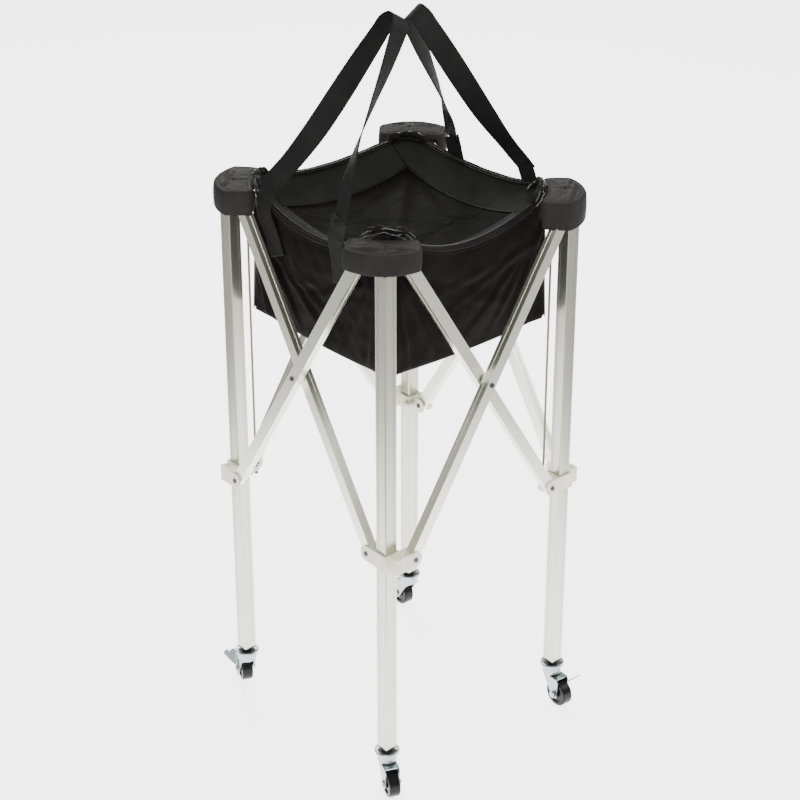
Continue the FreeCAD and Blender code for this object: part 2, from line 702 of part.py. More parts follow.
def make_brake_lever(index):
    """Side brake: an arm on the axle with a ring end below and two round ears above."""
    name = f"brake_lever_{CORNERS[index]}"
    near = size("brake_in")
    plate = size("brake_plate")
    eye = size("brake_eye_radius")
    foot_radius = size("brake_foot_radius")
    foot = Vector(size("brake_bend_back"), 0, size("brake_bend_rise"))
    tail = Vector(0, 0, -size("brake_tail_drop"))
    side = Vector(0, 1, 0)
    flat = [
        link_face(Vector(), foot, eye, size("brake_arm_width") / 2, side),
        link_face(Vector(), tail, eye, size("brake_tail_radius"), side),
    ]
    solids = []
    for face in flat:
        face.translate(side * near)
        solids.append(face.extrude(side * plate))
    inner = Vector(size("brake_ear_back"), near + size("brake_ear_radius"), size("brake_ear_rise"))
    outer = inner + side * size("brake_ear_spread")
    base = foot + side * (near + foot_radius)
    slope = Vector(inner.x - base.x, 0, inner.z - base.z).normalize()
    normal = slope.cross(side)
    for ear in (inner, outer):
        face = link_face(base, ear, foot_radius, size("brake_ear_radius"), normal)
        solids.append(face.extrude(normal * plate))
    hole_radius = size("axle_radius") + size("pin_clearance")
    start = side * (near - plate)
    holes = [
        Part.makeCylinder(hole_radius, 3 * plate, start, side),
        Part.makeCylinder(size("brake_tail_hole"), 3 * plate, start + tail, side),
    ]
    lever = solids[0].fuse(solids[1:]).cut(Part.makeCompound(holes)).removeSplitter()
    hub = Placement(Vector(size("caster_trail"), 0, size("wheel_radius")), Rotation())
    finish(feature(f"{name}_pressed", lever), name, at_caster(index).multiply(hub))


def make_elastic_cord(index):
    """Taut elastic cord from the hub's lug to the slider's, knotted behind each."""
    name = f"elastic_cord_{CORNERS[index]}"
    base = {"x": "lug_middle", "y": "lug_middle"}
    knot_gap = "cord_knot_radius + soft_gap + lug_half_height"
    low = f"slider_pivot_height - ({knot_gap})"
    high = f"hub_pivot_height + ({knot_gap})"
    parts = [cylinder(f"{name}_run", "cord_radius", low, f"({high}) - ({low})", **base)]
    for end, height in (("low", low), ("high", high)):
        knot = doc.addObject("Part::Sphere", f"{name}_{end}_knot")
        parts.append(bind(knot, Radius="cord_knot_radius", z=height, **base))
    finish(fuse(f"{name}_solid", parts), name, at_corner(index))


def bag_share(height):
    """How far up between the bag's floor and its corners a height lies, as a share."""
    return (height - size("bag_floor_height")) / (size("bag_corner_height") - size("bag_floor_height"))


def bag_half_at(height):
    """Outer half width of the bag at a height."""
    floor_half = size("bag_floor_half")
    return floor_half + bag_share(height) * (size("bag_rim_half") - floor_half)


def bag_round_at(height):
    """Outer corner radius of the bag at a height."""
    floor_round = size("bag_floor_round")
    return floor_round + bag_share(height) * (size("bag_rim_round") - floor_round)


def bag_corner_reach(height):
    """Distance from the middle to the bag's rounded corner at a height."""
    radius = bag_round_at(height)
    return (bag_half_at(height) - radius) * math.sqrt(2) + radius


def cap_outline(inset, back, height):
    """D shape across the corner: straight back, two short sides and a round front."""
    half = size("cap_half_width") - inset
    front = size("cap_front") - inset
    outward_turn = -135
    diagonal = Placement(Vector(), Rotation(Vector(0, 0, 1), outward_turn))
    corners = [Vector(-back, -half, 0), Vector(0, -half, 0), Vector(0, half, 0), Vector(-back, half, 0)]
    nose = Vector(front, 0, 0)
    edges = [
        Part.LineSegment(corners[0], corners[1]).toShape(),
        Part.Arc(corners[1], nose, corners[2]).toShape(),
        Part.LineSegment(corners[2], corners[3]).toShape(),
        Part.LineSegment(corners[3], corners[0]).toShape(),
    ]
    face = Part.Face(Part.Wire(edges))
    face.transformShape(diagonal.toMatrix())
    face.translate(Vector(0, 0, height))
    return face


def make_corner_cap(index):
    """Padded fabric cap pulled over the hub: a thick top and a skirt round the front."""
    name = f"corner_cap_{CORNERS[index]}"
    bottom, inside, top = size("cap_bottom"), size("cap_inside"), size("cap_top")
    leg_reach = size("leg_spacing") / 2 * math.sqrt(2)
    back = leg_reach - bag_corner_reach(top - size("cap_edge")) - size("soft_gap")
    solid = cap_outline(0, back, bottom).extrude(Vector(0, 0, top - bottom))
    upper = [
        edge
        for edge in solid.Edges
        if all(abs(vertex.Point.z - top) < size("soft_gap") for vertex in edge.Vertexes)
    ]
    solid = solid.makeFillet(size("cap_edge"), upper)
    reach = 2 * back
    hollow = cap_outline(size("cap_wall"), reach, bottom).extrude(Vector(0, 0, inside - bottom))
    finish(feature(f"{name}_sewn", solid.cut(hollow)), name, at_corner(index))


def rounded_square(half, radius, height):
    """Closed wire of four straight sides and four corner arcs."""
    straight = half - radius
    middle = radius * math.sqrt(0.5)
    edges = []
    for turn in range(4):
        start = Vector(half, -straight, 0)
        end = Vector(half, straight, 0)
        bulge = Vector(straight + middle, straight + middle, 0)
        after = Vector(straight, half, 0)
        spin = Rotation(Vector(0, 0, 1), QUARTER_TURN * turn)
        lift = Vector(0, 0, height)
        start, end, bulge, after = (spin.multVec(point) + lift for point in (start, end, bulge, after))
        edges.append(Part.LineSegment(start, end).toShape())
        edges.append(Part.Arc(end, bulge, after).toShape())
    return Part.Wire(edges)


def tapered_block(low_half, low_round, low, high_half, high_round, high):
    """Solid between a rounded square at one height and another above it."""
    wires = [rounded_square(low_half, low_round, low), rounded_square(high_half, high_round, high)]
    return Part.makeLoft(wires, True, True)


def sag_radius():
    """Radius of the arc that the rim hangs in between two corners."""
    depth = size("bag_corner_height") - size("bag_sag_height")
    span = size("bag_sag_half_span")
    return (span * span + depth * depth) / (2 * depth)


def sag_height(along, off):
    """Rim height: along a side from its middle, and off the bag's middle across that side."""
    radius = sag_radius()
    rise = size("bag_sag_rise") * (off / size("bag_rim_half") + 1) / 2
    if abs(along) >= radius:
        return size("bag_corner_height")
    hang = size("bag_sag_height") + rise + radius - math.sqrt(radius * radius - along * along)
    return min(hang, size("bag_corner_height"))


def strap_tails(outside):
    """The handles' sewn ends, flat on the outside of the left and right walls."""
    low, high = size("bag_floor_height"), size("bag_corner_height")
    floor_half, rim_half = size("bag_floor_half"), size("bag_rim_half")
    floor_round, rim_round = size("bag_floor_round"), size("bag_rim_round")
    thick = size("strap_thickness")
    skin = tapered_block(
        floor_half + thick, floor_round + thick, low, rim_half + thick, rim_round + thick, high
    )
    width = size("strap_width")
    bottom = size("bag_corner_height") - size("strap_tail")
    blanks = []
    for sign in (-1, 1):
        for way in (-1, 1):
            middle = way * size("strap_half_spread") - sign * size("strap_shift")
            start = Vector(0 if sign > 0 else -2 * rim_half, middle - width / 2, bottom)
            blanks.append(Part.makeBox(2 * rim_half, width, size("strap_tail"), start))
    return skin.cut(outside).common(Part.makeCompound(blanks))


def make_bag_shell():
    """Open square bag, wider at the rim, whose rim hangs in an arc between the corners."""
    wall = size("bag_wall")
    low, high = size("bag_floor_height"), size("bag_corner_height")
    floor_half, rim_half = size("bag_floor_half"), size("bag_rim_half")
    floor_round, rim_round = size("bag_floor_round"), size("bag_rim_round")
    outside = tapered_block(floor_half, floor_round, low, rim_half, rim_round, high)
    inside = tapered_block(
        bag_half_at(low + wall) - wall,
        floor_round - wall,
        low + wall,
        rim_half - wall,
        rim_round - wall,
        high,
    )
    shell = outside.cut(inside)
    radius = sag_radius()
    rise = size("bag_sag_rise")
    middle = Vector(0, 0, size("bag_sag_height") + rise / 2 + radius)
    for across in (Vector(1, 0, 0), Vector(0, 1, 0)):
        axis = across * (2 * rim_half) + Vector(0, 0, rise)
        shell = shell.cut(Part.makeCylinder(radius, 2 * axis.Length, middle - axis, axis))
    finish(feature("bag_sewn", shell.fuse(strap_tails(outside)).removeSplitter()), "bag_shell")


LID_PASSES = 4


def lid_section(turn, inner_point, along, corner_share):
    """Thin upright section of the lid's border, from the mesh out to the bag's wall.

    The point on the wall lies a share along the straight half of a side, and past its
    end a share of the way round the corner.
    """
    thick = size("lid_thickness")
    gap = size("bag_wall") + size("soft_gap")
    height = size("bag_sag_height")
    spin = Rotation(Vector(0, 0, 1), QUARTER_TURN * turn)
    for _ in range(LID_PASSES):
        half = bag_half_at(height) - gap
        radius = bag_round_at(height) - gap
        straight = half - radius
        angle = math.radians(QUARTER_TURN * corner_share)
        point = Vector(straight + radius * math.cos(angle), straight * along + radius * math.sin(angle), 0)
        spun = spin.multVec(point)
        heights = (sag_height(spun.y, spun.x), sag_height(spun.x, spun.y))
        height = min(heights) - size("lid_edge_drop")
    outer = spin.multVec(point) + Vector(0, 0, height)
    inner = spin.multVec(inner_point) + Vector(0, 0, size("net_height"))
    drop = Vector(0, 0, -thick)
    return Part.makePolygon([inner, outer, outer + drop, inner + drop, inner])



def make_lid():
    """Zipped lid: a fabric border hung from the bag's rim round a sunken flat net."""
    thick = size("lid_thickness")
    half = size("lid_mesh_half")
    bevel = size("lid_mesh_round")
    straight_shares = (-1, -0.6, -0.2, 0.2, 0.6, 1)
    corner_shares = (1 / 6, 1 / 3, 1 / 2, 2 / 3, 5 / 6)
    sections = []
    for turn in range(4):
        for share in straight_shares:
            inner = Vector(half, (half - bevel) * share, 0)
            sections.append(lid_section(turn, inner, share, 0))
        for share in corner_shares:
            inner = Vector(half - bevel * share, half - bevel * (1 - share), 0)
            sections.append(lid_section(turn, inner, 1, share))
    border = Part.makeLoft(sections, True, True, True)
    net_low = size("net_height") - thick
    edge = half - bevel
    corners = []
    for turn in range(4):
        spin = Rotation(Vector(0, 0, 1), QUARTER_TURN * turn)
        corners += [spin.multVec(Vector(half, side * edge, 0)) for side in (-1, 1)]
    outline = [corner + Vector(0, 0, net_low) for corner in corners]
    net = Part.Face(Part.makePolygon(outline + outline[:1]))
    count = int(size("net_gap_count"))
    gap = size("net_gap_width")
    pitch = (2 * half - bevel) / count
    start = -pitch * count / 2 + (pitch - gap) / 2
    gaps = []
    for column in range(count):
        for row in range(count):
            corner = Vector(start + column * pitch, start + row * pitch, net_low)
            gaps.append(Part.makePlane(gap, gap, corner))
    sheet = net.cut(Part.makeCompound(gaps)).extrude(Vector(0, 0, thick))
    finish(feature("lid_sewn", border.fuse(sheet).removeSplitter()), "lid")


def strap_section(centre, across, through):
    """Closed rectangle of the webbing's section at one place of its path."""
    wide = across * (size("strap_width") / 2)
    thin = through * (size("strap_thickness") / 2)
    corners = [centre - wide - thin, centre + wide - thin, centre + wide + thin, centre - wide + thin]
    return Part.makePolygon(corners + corners[:1])


def strap_path(peak_shift):
    """Middle of the right loop from the +Y end to the -Y end, with the turn made by then.

    The loop leans over the bag, so that the two loops meet edge to edge at their peaks,
    and its peak lies off the middle by peak_shift towards -Y.
    """
    turn_height = size("bag_corner_height") + size("soft_gap")
    half_width = size("strap_width") / 2
    start_x = bag_half_at(turn_height) + size("strap_thickness") / 2
    rise = size("strap_peak_height") - turn_height
    lean = math.atan2(start_x - half_width, rise)
    peak = Vector(half_width * math.cos(lean) + size("strap_meet_gap") / 2, 0, rise)
    peak.z -= half_width * math.sin(lean)
    drift = Vector(peak.x - start_x, 0, peak.z)
    normal = Vector(drift.z, 0, -drift.x).normalize()
    spread, waist, round_half = (size(f"strap_{key}") for key in ("half_spread", "waist", "peak_round"))
    # Shares: up the leg, from the ends' spread to the waist's, from there to the peak's, of the turn.
    leg_shares = [
        (0, 0, 0, 0),
        (0.15, 0.4, 0, 0.16),
        (0.35, 0.8, 0, 0.42),
        (0.55, 1, 0.1, 0.6),
        (0.75, 1, 0.5, 0.8),
        (0.9, 1, 0.85, 0.95),
        (0.96, 1, 1, 1),
    ]
    above = []
    for up, narrowed, closed, turned in leg_shares:
        beside = spread + (waist - spread) * narrowed + (round_half - waist) * closed
        shift = size("strap_shift") * (1 - up) + peak_shift * up
        above.append((up, beside, shift, turned))
    crown_share = 0.99
    above += [(crown_share, round_half / 2, peak_shift, 1)]
    path = []
    for way in (1, -1):
        for up, beside, shift, turned in above:
            middle = Vector(start_x, way * beside - shift, turn_height)
            path.append((middle + drift * up, -turned))
        if way > 0:
            path.append((Vector(start_x, -peak_shift, turn_height) + drift, -1))
            first = list(path)
            path = []
    return first + path[::-1], normal


def make_handle(side, sign):
    """Webbing loop: flat against the bag at its ends, turned edge up at its peak."""
    path, normal = strap_path(sign * size("strap_peak_shift"))
    wires = []
    for number, (point, turned) in enumerate(path):
        before = path[max(number - 1, 0)][0]
        after = path[min(number + 1, len(path) - 1)][0]
        along = (after - before).normalize()
        face = normal
        if number in (0, len(path) - 1):
            face = Vector(1, 0, 0)
            along = Vector(0, 0, 1) if number == 0 else Vector(0, 0, -1)
        in_plane = face.cross(along).normalize()
        out = along.cross(in_plane)
        angle = math.radians(QUARTER_TURN * turned)
        across = in_plane * math.cos(angle) + out * math.sin(angle)
        wires.append(strap_section(point, across, along.cross(across)))
    solid = Part.makeLoft(wires, True, True)
    item = feature(f"handle_{side}_sewn", solid)
    half_turn = Placement(Vector(), Rotation(Vector(0, 0, 1), 2 * QUARTER_TURN))
    finish(item, f"handle_{side}", half_turn if sign < 0 else None)


for corner_index, corner_name in enumerate(CORNERS):
    make_leg(corner_index)
    make_bracket(corner_index, "hub")
    make_bracket(corner_index, "slider")
    make_bracket_pins(corner_index, "hub")
    make_bracket_pins(corner_index, "slider")
    make_corner_cap(corner_index)
    make_foot(corner_index)
    make_fork(corner_index)
    make_wheel(corner_index)
    make_axle(corner_index)
    if corner_name in BRAKED:
        make_brake_lever(corner_index)
        make_elastic_cord(corner_index)

for side_index in range(len(SIDES)):
    make_brace(side_index, "inner")
    make_brace(side_index, "outer")
    make_crossing_rivet(side_index)

make_bag_shell()
make_lid()
make_handle("right", 1)
make_handle("left", -1)

doc.recompute()
for item in doc.Objects:
    if "Invalid" in item.State or "Error" in item.State:
        raise RuntimeError(f"{item.Name} did not recompute: {item.State}")

os.makedirs("parts", exist_ok=True)
for item in EXPORT:
    shape = item.Shape
    if shape.isNull() or not shape.isValid():
        raise RuntimeError(f"{item.Label} has no valid shape")
    shape.exportStep(f"parts/{item.Label}.step")
    print(f"{item.Label}: {len(shape.Solids)} solids, {shape.Volume:.0f} mm3")
print(len(EXPORT), "parts")
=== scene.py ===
"""Looks of a folding ball basket: aluminium scissor frame, fabric bag with a zipped mesh lid,
casters.
"""
import logging
import math
from dataclasses import dataclass, field
from enum import Enum
from typing import Optional, Sequence, Union

import bmesh
import bpy
import numpy as np
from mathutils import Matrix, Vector


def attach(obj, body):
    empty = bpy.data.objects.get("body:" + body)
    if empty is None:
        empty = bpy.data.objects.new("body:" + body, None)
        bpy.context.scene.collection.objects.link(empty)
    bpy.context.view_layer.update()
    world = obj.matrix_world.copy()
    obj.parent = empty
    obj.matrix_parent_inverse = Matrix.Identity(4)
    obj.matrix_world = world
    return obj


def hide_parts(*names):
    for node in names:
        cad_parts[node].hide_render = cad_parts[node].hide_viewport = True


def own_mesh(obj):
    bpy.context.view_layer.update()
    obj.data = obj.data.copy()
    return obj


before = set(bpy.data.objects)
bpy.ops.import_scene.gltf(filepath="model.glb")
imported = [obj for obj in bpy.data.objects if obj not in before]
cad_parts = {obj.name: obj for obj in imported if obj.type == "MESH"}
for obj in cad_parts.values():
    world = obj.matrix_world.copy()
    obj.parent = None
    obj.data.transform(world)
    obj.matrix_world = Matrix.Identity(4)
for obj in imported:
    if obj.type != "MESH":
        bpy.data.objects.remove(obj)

LOG = logging.getLogger("ball_basket")
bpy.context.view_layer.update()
Number = Union[int, float]
Array = np.ndarray


# Shader maths

class Wire:
    """One shader socket that Python's operators work on."""

    def __init__(self, paint: "Paint", socket: bpy.types.NodeSocket) -> None:
        """Keep the socket and the material that it belongs to."""
        self.paint = paint
        self.socket = socket

    def _math(self, operation: str, *values: Union["Wire", Number]) -> "Wire":
        """Add one Math node.

        Args:
            operation: the node's operation.
            values: its inputs in order.

        Returns:
            The node's value.
        """
        settings = {"operation": operation}
        return self.paint.node("ShaderNodeMath", settings, dict(enumerate(values)))

    def __add__(self, other: Union["Wire", Number]) -> "Wire":
        """Sum."""
        return self._math("ADD", self, other)

    def __radd__(self, other: Number) -> "Wire":
        """Sum, number first."""
        return self._math("ADD", other, self)

    def __sub__(self, other: Union["Wire", Number]) -> "Wire":
        """Difference."""
        return self._math("SUBTRACT", self, other)

    def __rsub__(self, other: Number) -> "Wire":
        """Difference, number first."""
        return self._math("SUBTRACT", other, self)

    def __mul__(self, other: Union["Wire", Number]) -> "Wire":
        """Product."""
        return self._math("MULTIPLY", self, other)

    def __rmul__(self, other: Number) -> "Wire":
        """Product, number first."""
        return self._math("MULTIPLY", other, self)

    def __truediv__(self, other: Union["Wire", Number]) -> "Wire":
        """Quotient."""
        return self._math("DIVIDE", self, other)

    def __gt__(self, other: Union["Wire", Number]) -> "Wire":
        """One where this is greater, else zero."""
        return self._math("GREATER_THAN", self, other)

    def __lt__(self, other: Union["Wire", Number]) -> "Wire":
        """One where this is less, else zero."""
        return self._math("LESS_THAN", self, other)

    def __abs__(self) -> "Wire":
        """Size without sign."""
        return self._math("ABSOLUTE", self)

    def __pow__(self, other: Union["Wire", Number]) -> "Wire":
        """Power."""
        return self._math("POWER", self, other)

    def sine(self) -> "Wire":
        """Sine of this, in radians."""
        return self._math("SINE", self)

    def fraction(self) -> "Wire":
        """Part after the point."""
        return self._math("FRACT", self)

    def whole(self) -> "Wire":
        """Part before the point."""
        return self._math("FLOOR", self)

    def most(self, other: Union["Wire", Number]) -> "Wire":
        """Larger of the two."""
        return self._math("MAXIMUM", self, other)

    def between(self, low: Number, high: Number) -> "Wire":
        """Smooth step from zero at low to one at high."""
        settings = {"interpolation_type": "SMOOTHSTEP"}
        return self.paint.node("ShaderNodeMapRange", settings, {0: self, 1: low, 2: high})


class Paint:
    """One procedural material on a Principled shader."""

    def __init__(self, name: str, **constants: object) -> None:
        """Make the material.

        Args:
            name: the material's name.
            constants: values set on the shader's own sockets, with _ for a space.
        """
        self.material = bpy.data.materials.new(name)
        self.material.use_nodes = True
        self.tree = self.material.node_tree
        self.shader = self.tree.nodes["Principled BSDF"]
        for key, value in constants.items():
            self.shader.inputs[key.replace("_", " ")].default_value = value

    def node(
        self,
        kind: str,
        settings: Optional[dict] = None,
        inputs: Optional[dict] = None,
        output: Union[int, str] = 0,
    ) -> Wire:
        """Add any node.

        Args:
            kind: the node's type.
            settings: its properties; a ramp's stops come under "stops".
            inputs: values or wires by socket name or number.
            output: which socket to return.

        Returns:
            The chosen output.
        """
        made = self.tree.nodes.new(kind)
        for key, value in (settings or {}).items():
            if key == "stops":
                self._fill_ramp(made.color_ramp, value)
            else:
                setattr(made, key, value)
        for key, value in (inputs or {}).items():
            if isinstance(value, Wire):
                self.tree.links.new(value.socket, made.inputs[key])
            else:
                made.inputs[key].default_value = value
        return Wire(self, made.outputs[output])

    @staticmethod
    def _fill_ramp(ramp: bpy.types.ColorRamp, stops: Sequence[tuple]) -> None:
        """Put (place, colour) stops on a ramp."""
        while len(ramp.elements) < len(stops):
            ramp.elements.new(1.0)
        for element, (place, colour) in zip(ramp.elements, stops):
            element.position = place
            element.color = (*colour, 1.0)

    def place(self) -> Wire:
        """Object coordinates, in metres."""
        return self.node("ShaderNodeTexCoord", output="Object")

    def along(self) -> Wire:
        """The piece's own map, in metres along and across it."""
        return self.node("ShaderNodeTexCoord", output="UV")

    def split(self, vector: Wire) -> tuple[Wire, Wire, Wire]:
        """The three parts of a vector."""
        made = self.node("ShaderNodeSeparateXYZ", inputs={0: vector}).socket.node
        return tuple(Wire(self, made.outputs[part]) for part in range(3))

    def noise(self, at: Wire, scale: float, detail: float = 2.0, rough: float = 0.5) -> Wire:
        """Noise from zero to one, scale features to the metre."""
        inputs = {"Vector": at, "Scale": scale, "Detail": detail, "Roughness": rough}
        return self.node("ShaderNodeTexNoise", inputs=inputs)

    def stretch(self, at: Wire, scale: Sequence[float], turn: Sequence[float] = (0, 0, 0)) -> Wire:
        """Coordinates turned and then scaled along each axis."""
        turned = self.node(
            "ShaderNodeMapping", {"vector_type": "TEXTURE"}, {"Vector": at, "Rotation": turn}
        )
        return self.node("ShaderNodeVectorMath", {"operation": "MULTIPLY"}, {0: turned, 1: scale})

    def blend(self, share: Wire, low: Sequence[float], high: Union[Sequence[float], Wire]) -> Wire:
        """Colour from low to high by a share; either may be a wire."""
        colours = {
            6: low if isinstance(low, Wire) else (*low, 1.0),
            7: high if isinstance(high, Wire) else (*high, 1.0),
        }
        return self.node("ShaderNodeMix", {"data_type": "RGBA"}, {0: share, **colours}, 2)

    def bump(self, height: Wire, depth: float, under: Optional[Wire] = None) -> Wire:
        """Normal raised by a height from zero to one, depth metres at most."""
        inputs = {"Height": height, "Distance": depth, "Strength": 1.0}
        if under is not None:
            inputs["Normal"] = under
        return self.node("ShaderNodeBump", inputs=inputs)

    def connect(self, **wires: Wire) -> bpy.types.Material:
        """Link wires to the shader's sockets and hand back the material."""
        for key, wire in wires.items():
            self.tree.links.new(wire.socket, self.shader.inputs[key.replace("_", " ")])
        return self.material


# Finishes

@dataclass(frozen=True)
class ExtrudedAluminium:
    """Satin aluminium with fine streaks along the extrusion."""

    name: str
    lean: float = 0.0
    turn: float = 0.0
    colour: tuple = (0.55, 0.555, 0.475)

    def material(self) -> bpy.types.Material:
        """Streaks are noise drawn out along the tube, which leans from upright about Y, then
        turns about Z.
        """
        paint = Paint(self.name, Metallic=0.93, Specular_IOR_Level=0.5)
        spot = paint.stretch(paint.place(), (900, 900, 3), (0, self.lean, self.turn))
        streak = paint.noise(spot, 1.0, 3.0)
        wide = paint.noise(
            paint.stretch(paint.place(), (60, 60, 2), (0, self.lean, self.turn)), 1.0
        )
        cloud = paint.noise(paint.place(), 9.0, 3.0)
        tone = (streak * 0.35 + wide * 0.35 + cloud * 0.3).between(0.3, 0.7)
        low = tuple(value * 0.93 for value in self.colour)
        high = tuple(min(1.0, value * 1.05) for value in self.colour)
        return paint.connect(
            Base_Color=paint.blend(tone, low, high),
            Roughness=streak * 0.12 + cloud * 0.06 + 0.24,
            Normal=paint.bump(streak, 0.00004),
        )


@dataclass(frozen=True)
class MouldedPlastic:
    """Moulded plastic with a fine grain and slight mottling."""

    name: str
    colour: tuple
    rough: float = 0.45
    grain: float = 0.00003
    shine: float = 0.5
    coat: float = 0.0

    def material(self) -> bpy.types.Material:
        """Grain from a fine noise, scuffs from a broad one."""
        paint = Paint(
            self.name, Specular_IOR_Level=self.shine, Coat_Weight=self.coat, Coat_Roughness=0.18
        )
        grain = paint.noise(paint.place(), 2600, 2.0)
        cloud = paint.noise(paint.place(), 38, 4.0, 0.6)
        low = tuple(value * 0.9 for value in self.colour)
        high = tuple(min(1.0, value * 1.06) for value in self.colour)
        return paint.connect(
            Base_Color=paint.blend(cloud.between(0.35, 0.65), low, high),
            Roughness=cloud * 0.14 + grain * 0.06 + (self.rough - 0.1),
            Normal=paint.bump(grain, self.grain),
        )


@dataclass(frozen=True)
class PlatedSteel:
    """Bright zinc plate, faintly blue, with cloudy patches."""

    name: str
    colour: tuple = (0.40, 0.445, 0.445)
    rough: float = 0.22

    def material(self) -> bpy.types.Material:
        """Patches from noise, fine pits from a second one."""
        paint = Paint(self.name, Metallic=1.0)
        cloud = paint.noise(paint.place(), 120, 4.0, 0.6)
        pits = paint.noise(paint.place(), 1900, 2.0)
        low = tuple(value * 0.84 for value in self.colour)
        return paint.connect(
            Base_Color=paint.blend(cloud.between(0.3, 0.7), low, self.colour),
            Roughness=cloud * 0.16 + pits * 0.06 + self.rough,
            Normal=paint.bump(pits, 0.00003),
        )


@dataclass(frozen=True)
class WovenCloth:
    """Coated polyester in a plain weave, mapped in metres along the threads."""

    name: str
    colour: tuple
    light: tuple
    pitch: float = 0.0011
    rough: float = 0.62
    depth: float = 0.00008
    sheen: float = 0.008
    seam_lines: bool = False
    seam_at: float = 0.138

    def material(self) -> bpy.types.Material:
        """Two thread directions cross as sines; worn, dusty tones come from broad noise."""
        paint = Paint(
            self.name, Specular_IOR_Level=0.05, Sheen_Weight=self.sheen, Sheen_Roughness=0.4
        )
        across, up, _ = paint.split(paint.along())
        turns = 2 * math.pi / self.pitch
        warp = (across * turns).sine()
        weft = (up * turns).sine()
        weave = (warp * weft) * 0.5 + 0.5
        slub = paint.noise(paint.stretch(paint.along(), (300, 1800, 1)), 1.0, 2.0)
        cloud = paint.noise(paint.place(), 14, 4.0, 0.55)
        dust = paint.noise(paint.place(), 60, 3.0, 0.6)
        tone = (weave * 0.25 + slub * 0.2 + cloud * 0.35 + dust * 0.2).between(0.25, 0.78)
        height = weave * 0.7 + slub * 0.3
        colour = paint.blend(tone, self.colour, self.light)
        if self.seam_lines:
            x, y, _ = paint.split(paint.place())
            beyond = abs(y).between(self.seam_at - 0.002, self.seam_at)
            mitre = (1 - abs(abs(x) - self.seam_at).between(0.0006, 0.0016)) * beyond
            stitch = (1 - abs(abs(abs(x) - self.seam_at) - 0.0042).between(0.0003, 0.0009)) * beyond
            dash = (y * 260).fraction() < 0.6
            # The mitre seam is sunk in the bump and also darkened in colour: the darkening is
            # painted shade in the seam's groove.
            colour = paint.blend(mitre * 0.85, colour, tuple(value * 0.35 for value in self.colour))
            height = height * 0.12 + 0.88 - mitre * 0.6 + stitch * dash * 0.2
        return paint.connect(
            Base_Color=colour,
            Roughness=cloud * 0.16 + weave * 0.1 + (self.rough - 0.12),
            Normal=paint.bump(height, self.depth * (6 if self.seam_lines else 1)),
        )


@dataclass(frozen=True)
class RibbedWebbing:
    """Nylon webbing: ribs across it in a herringbone, and a firmer edge."""

    name: str
    width: float
    colour: tuple = (0.0105, 0.0104, 0.0102)
    light: tuple = (0.0265, 0.0262, 0.0258)
    pitch: float = 0.0016

    def material(self) -> bpy.types.Material:
        """Ribs lean one way and then the other in columns; the map runs across and along the
        strap.
        """
        paint = Paint(self.name, Specular_IOR_Level=0.08, Sheen_Weight=0.008, Sheen_Roughness=0.4)
        across, along, _ = paint.split(paint.along())
        column = abs((across * (1 / 0.0095)).fraction() - 0.5) * 2.0
        rib = ((along * (2 * math.pi / self.pitch)) + column * 5.0).sine() * 0.5 + 0.5
        thread = (across * (2 * math.pi / 0.0008)).sine() * 0.5 + 0.5
        edge = abs(across * (1 / self.width) - 0.5).between(0.44, 0.5)
        cloud = paint.noise(paint.place(), 25, 4.0, 0.6)
        tone = (rib * 0.4 + thread * 0.15 + cloud * 0.45 - edge * 0.2).between(0.2, 0.85)
        return paint.connect(
            Base_Color=paint.blend(tone, self.colour, self.light),
            Roughness=rib * 0.12 + cloud * 0.1 + 0.45,
            Normal=paint.bump(rib * 0.7 + thread * 0.3 - edge * 0.4, 0.00018),
        )


@dataclass(frozen=True)
class KnittedMesh:
    """Open knitted mesh: rows of small lens-shaped holes, each row half a step along."""

    name: str
    colour: tuple = (0.0012, 0.0011, 0.001)
    light: tuple = (0.013, 0.0124, 0.0114)
    pitch: float = 0.0042

    def material(self) -> bpy.types.Material:
        """A hole is where the product of two cosines, offset in every second row, is high."""
        paint = Paint(self.name, Specular_IOR_Level=0.03)
        across, up, _ = paint.split(paint.along())
        row = (up * (1 / (self.pitch * 0.72))).whole()
        odd = (row * 0.5).fraction()
        cell_x = ((across * (1 / self.pitch)) + odd).fraction() - 0.5
        cell_y = (up * (1 / (self.pitch * 0.72))).fraction() - 0.5
        reach = cell_x * cell_x * 4.0 + cell_y * cell_y * 5.0
        hole = 1 - reach.between(0.34, 0.5)
        cloud = paint.noise(paint.place(), 30, 3.0)
        cord = reach.between(0.4, 1.1)
        return paint.connect(
            Base_Color=paint.blend(
                (cord * 0.7 + cloud * 0.3).between(0.1, 0.9), self.colour, self.light
            ),
            Roughness=cloud * 0.2 + 0.5,
            Alpha=1 - hole,
            Normal=paint.bump(cord, 0.0003),
        )


@dataclass(frozen=True)
class TwistedThread:
    """Thread, cord or zip tape with a twist along it."""

    name: str
    colour: tuple
    light: tuple
    pitch: float = 0.0022
    rough: float = 0.6
    shine: float = 0.4

    def material(self) -> bpy.types.Material:
        """Diagonal strands from a sine on the map's two directions."""
        paint = Paint(self.name, Specular_IOR_Level=self.shine)
        across, along, _ = paint.split(paint.along())
        strand = (
            along * (2 * math.pi / self.pitch) + across * (math.pi / 0.0015)
        ).sine() * 0.5 + 0.5
        cloud = paint.noise(paint.place(), 90, 3.0)
        return paint.connect(
            Base_Color=paint.blend(
                (strand * 0.6 + cloud * 0.4).between(0.15, 0.85), self.colour, self.light
            ),
            Roughness=strand * 0.15 + cloud * 0.1 + (self.rough - 0.1),
            Normal=paint.bump(strand, 0.0002),
        )


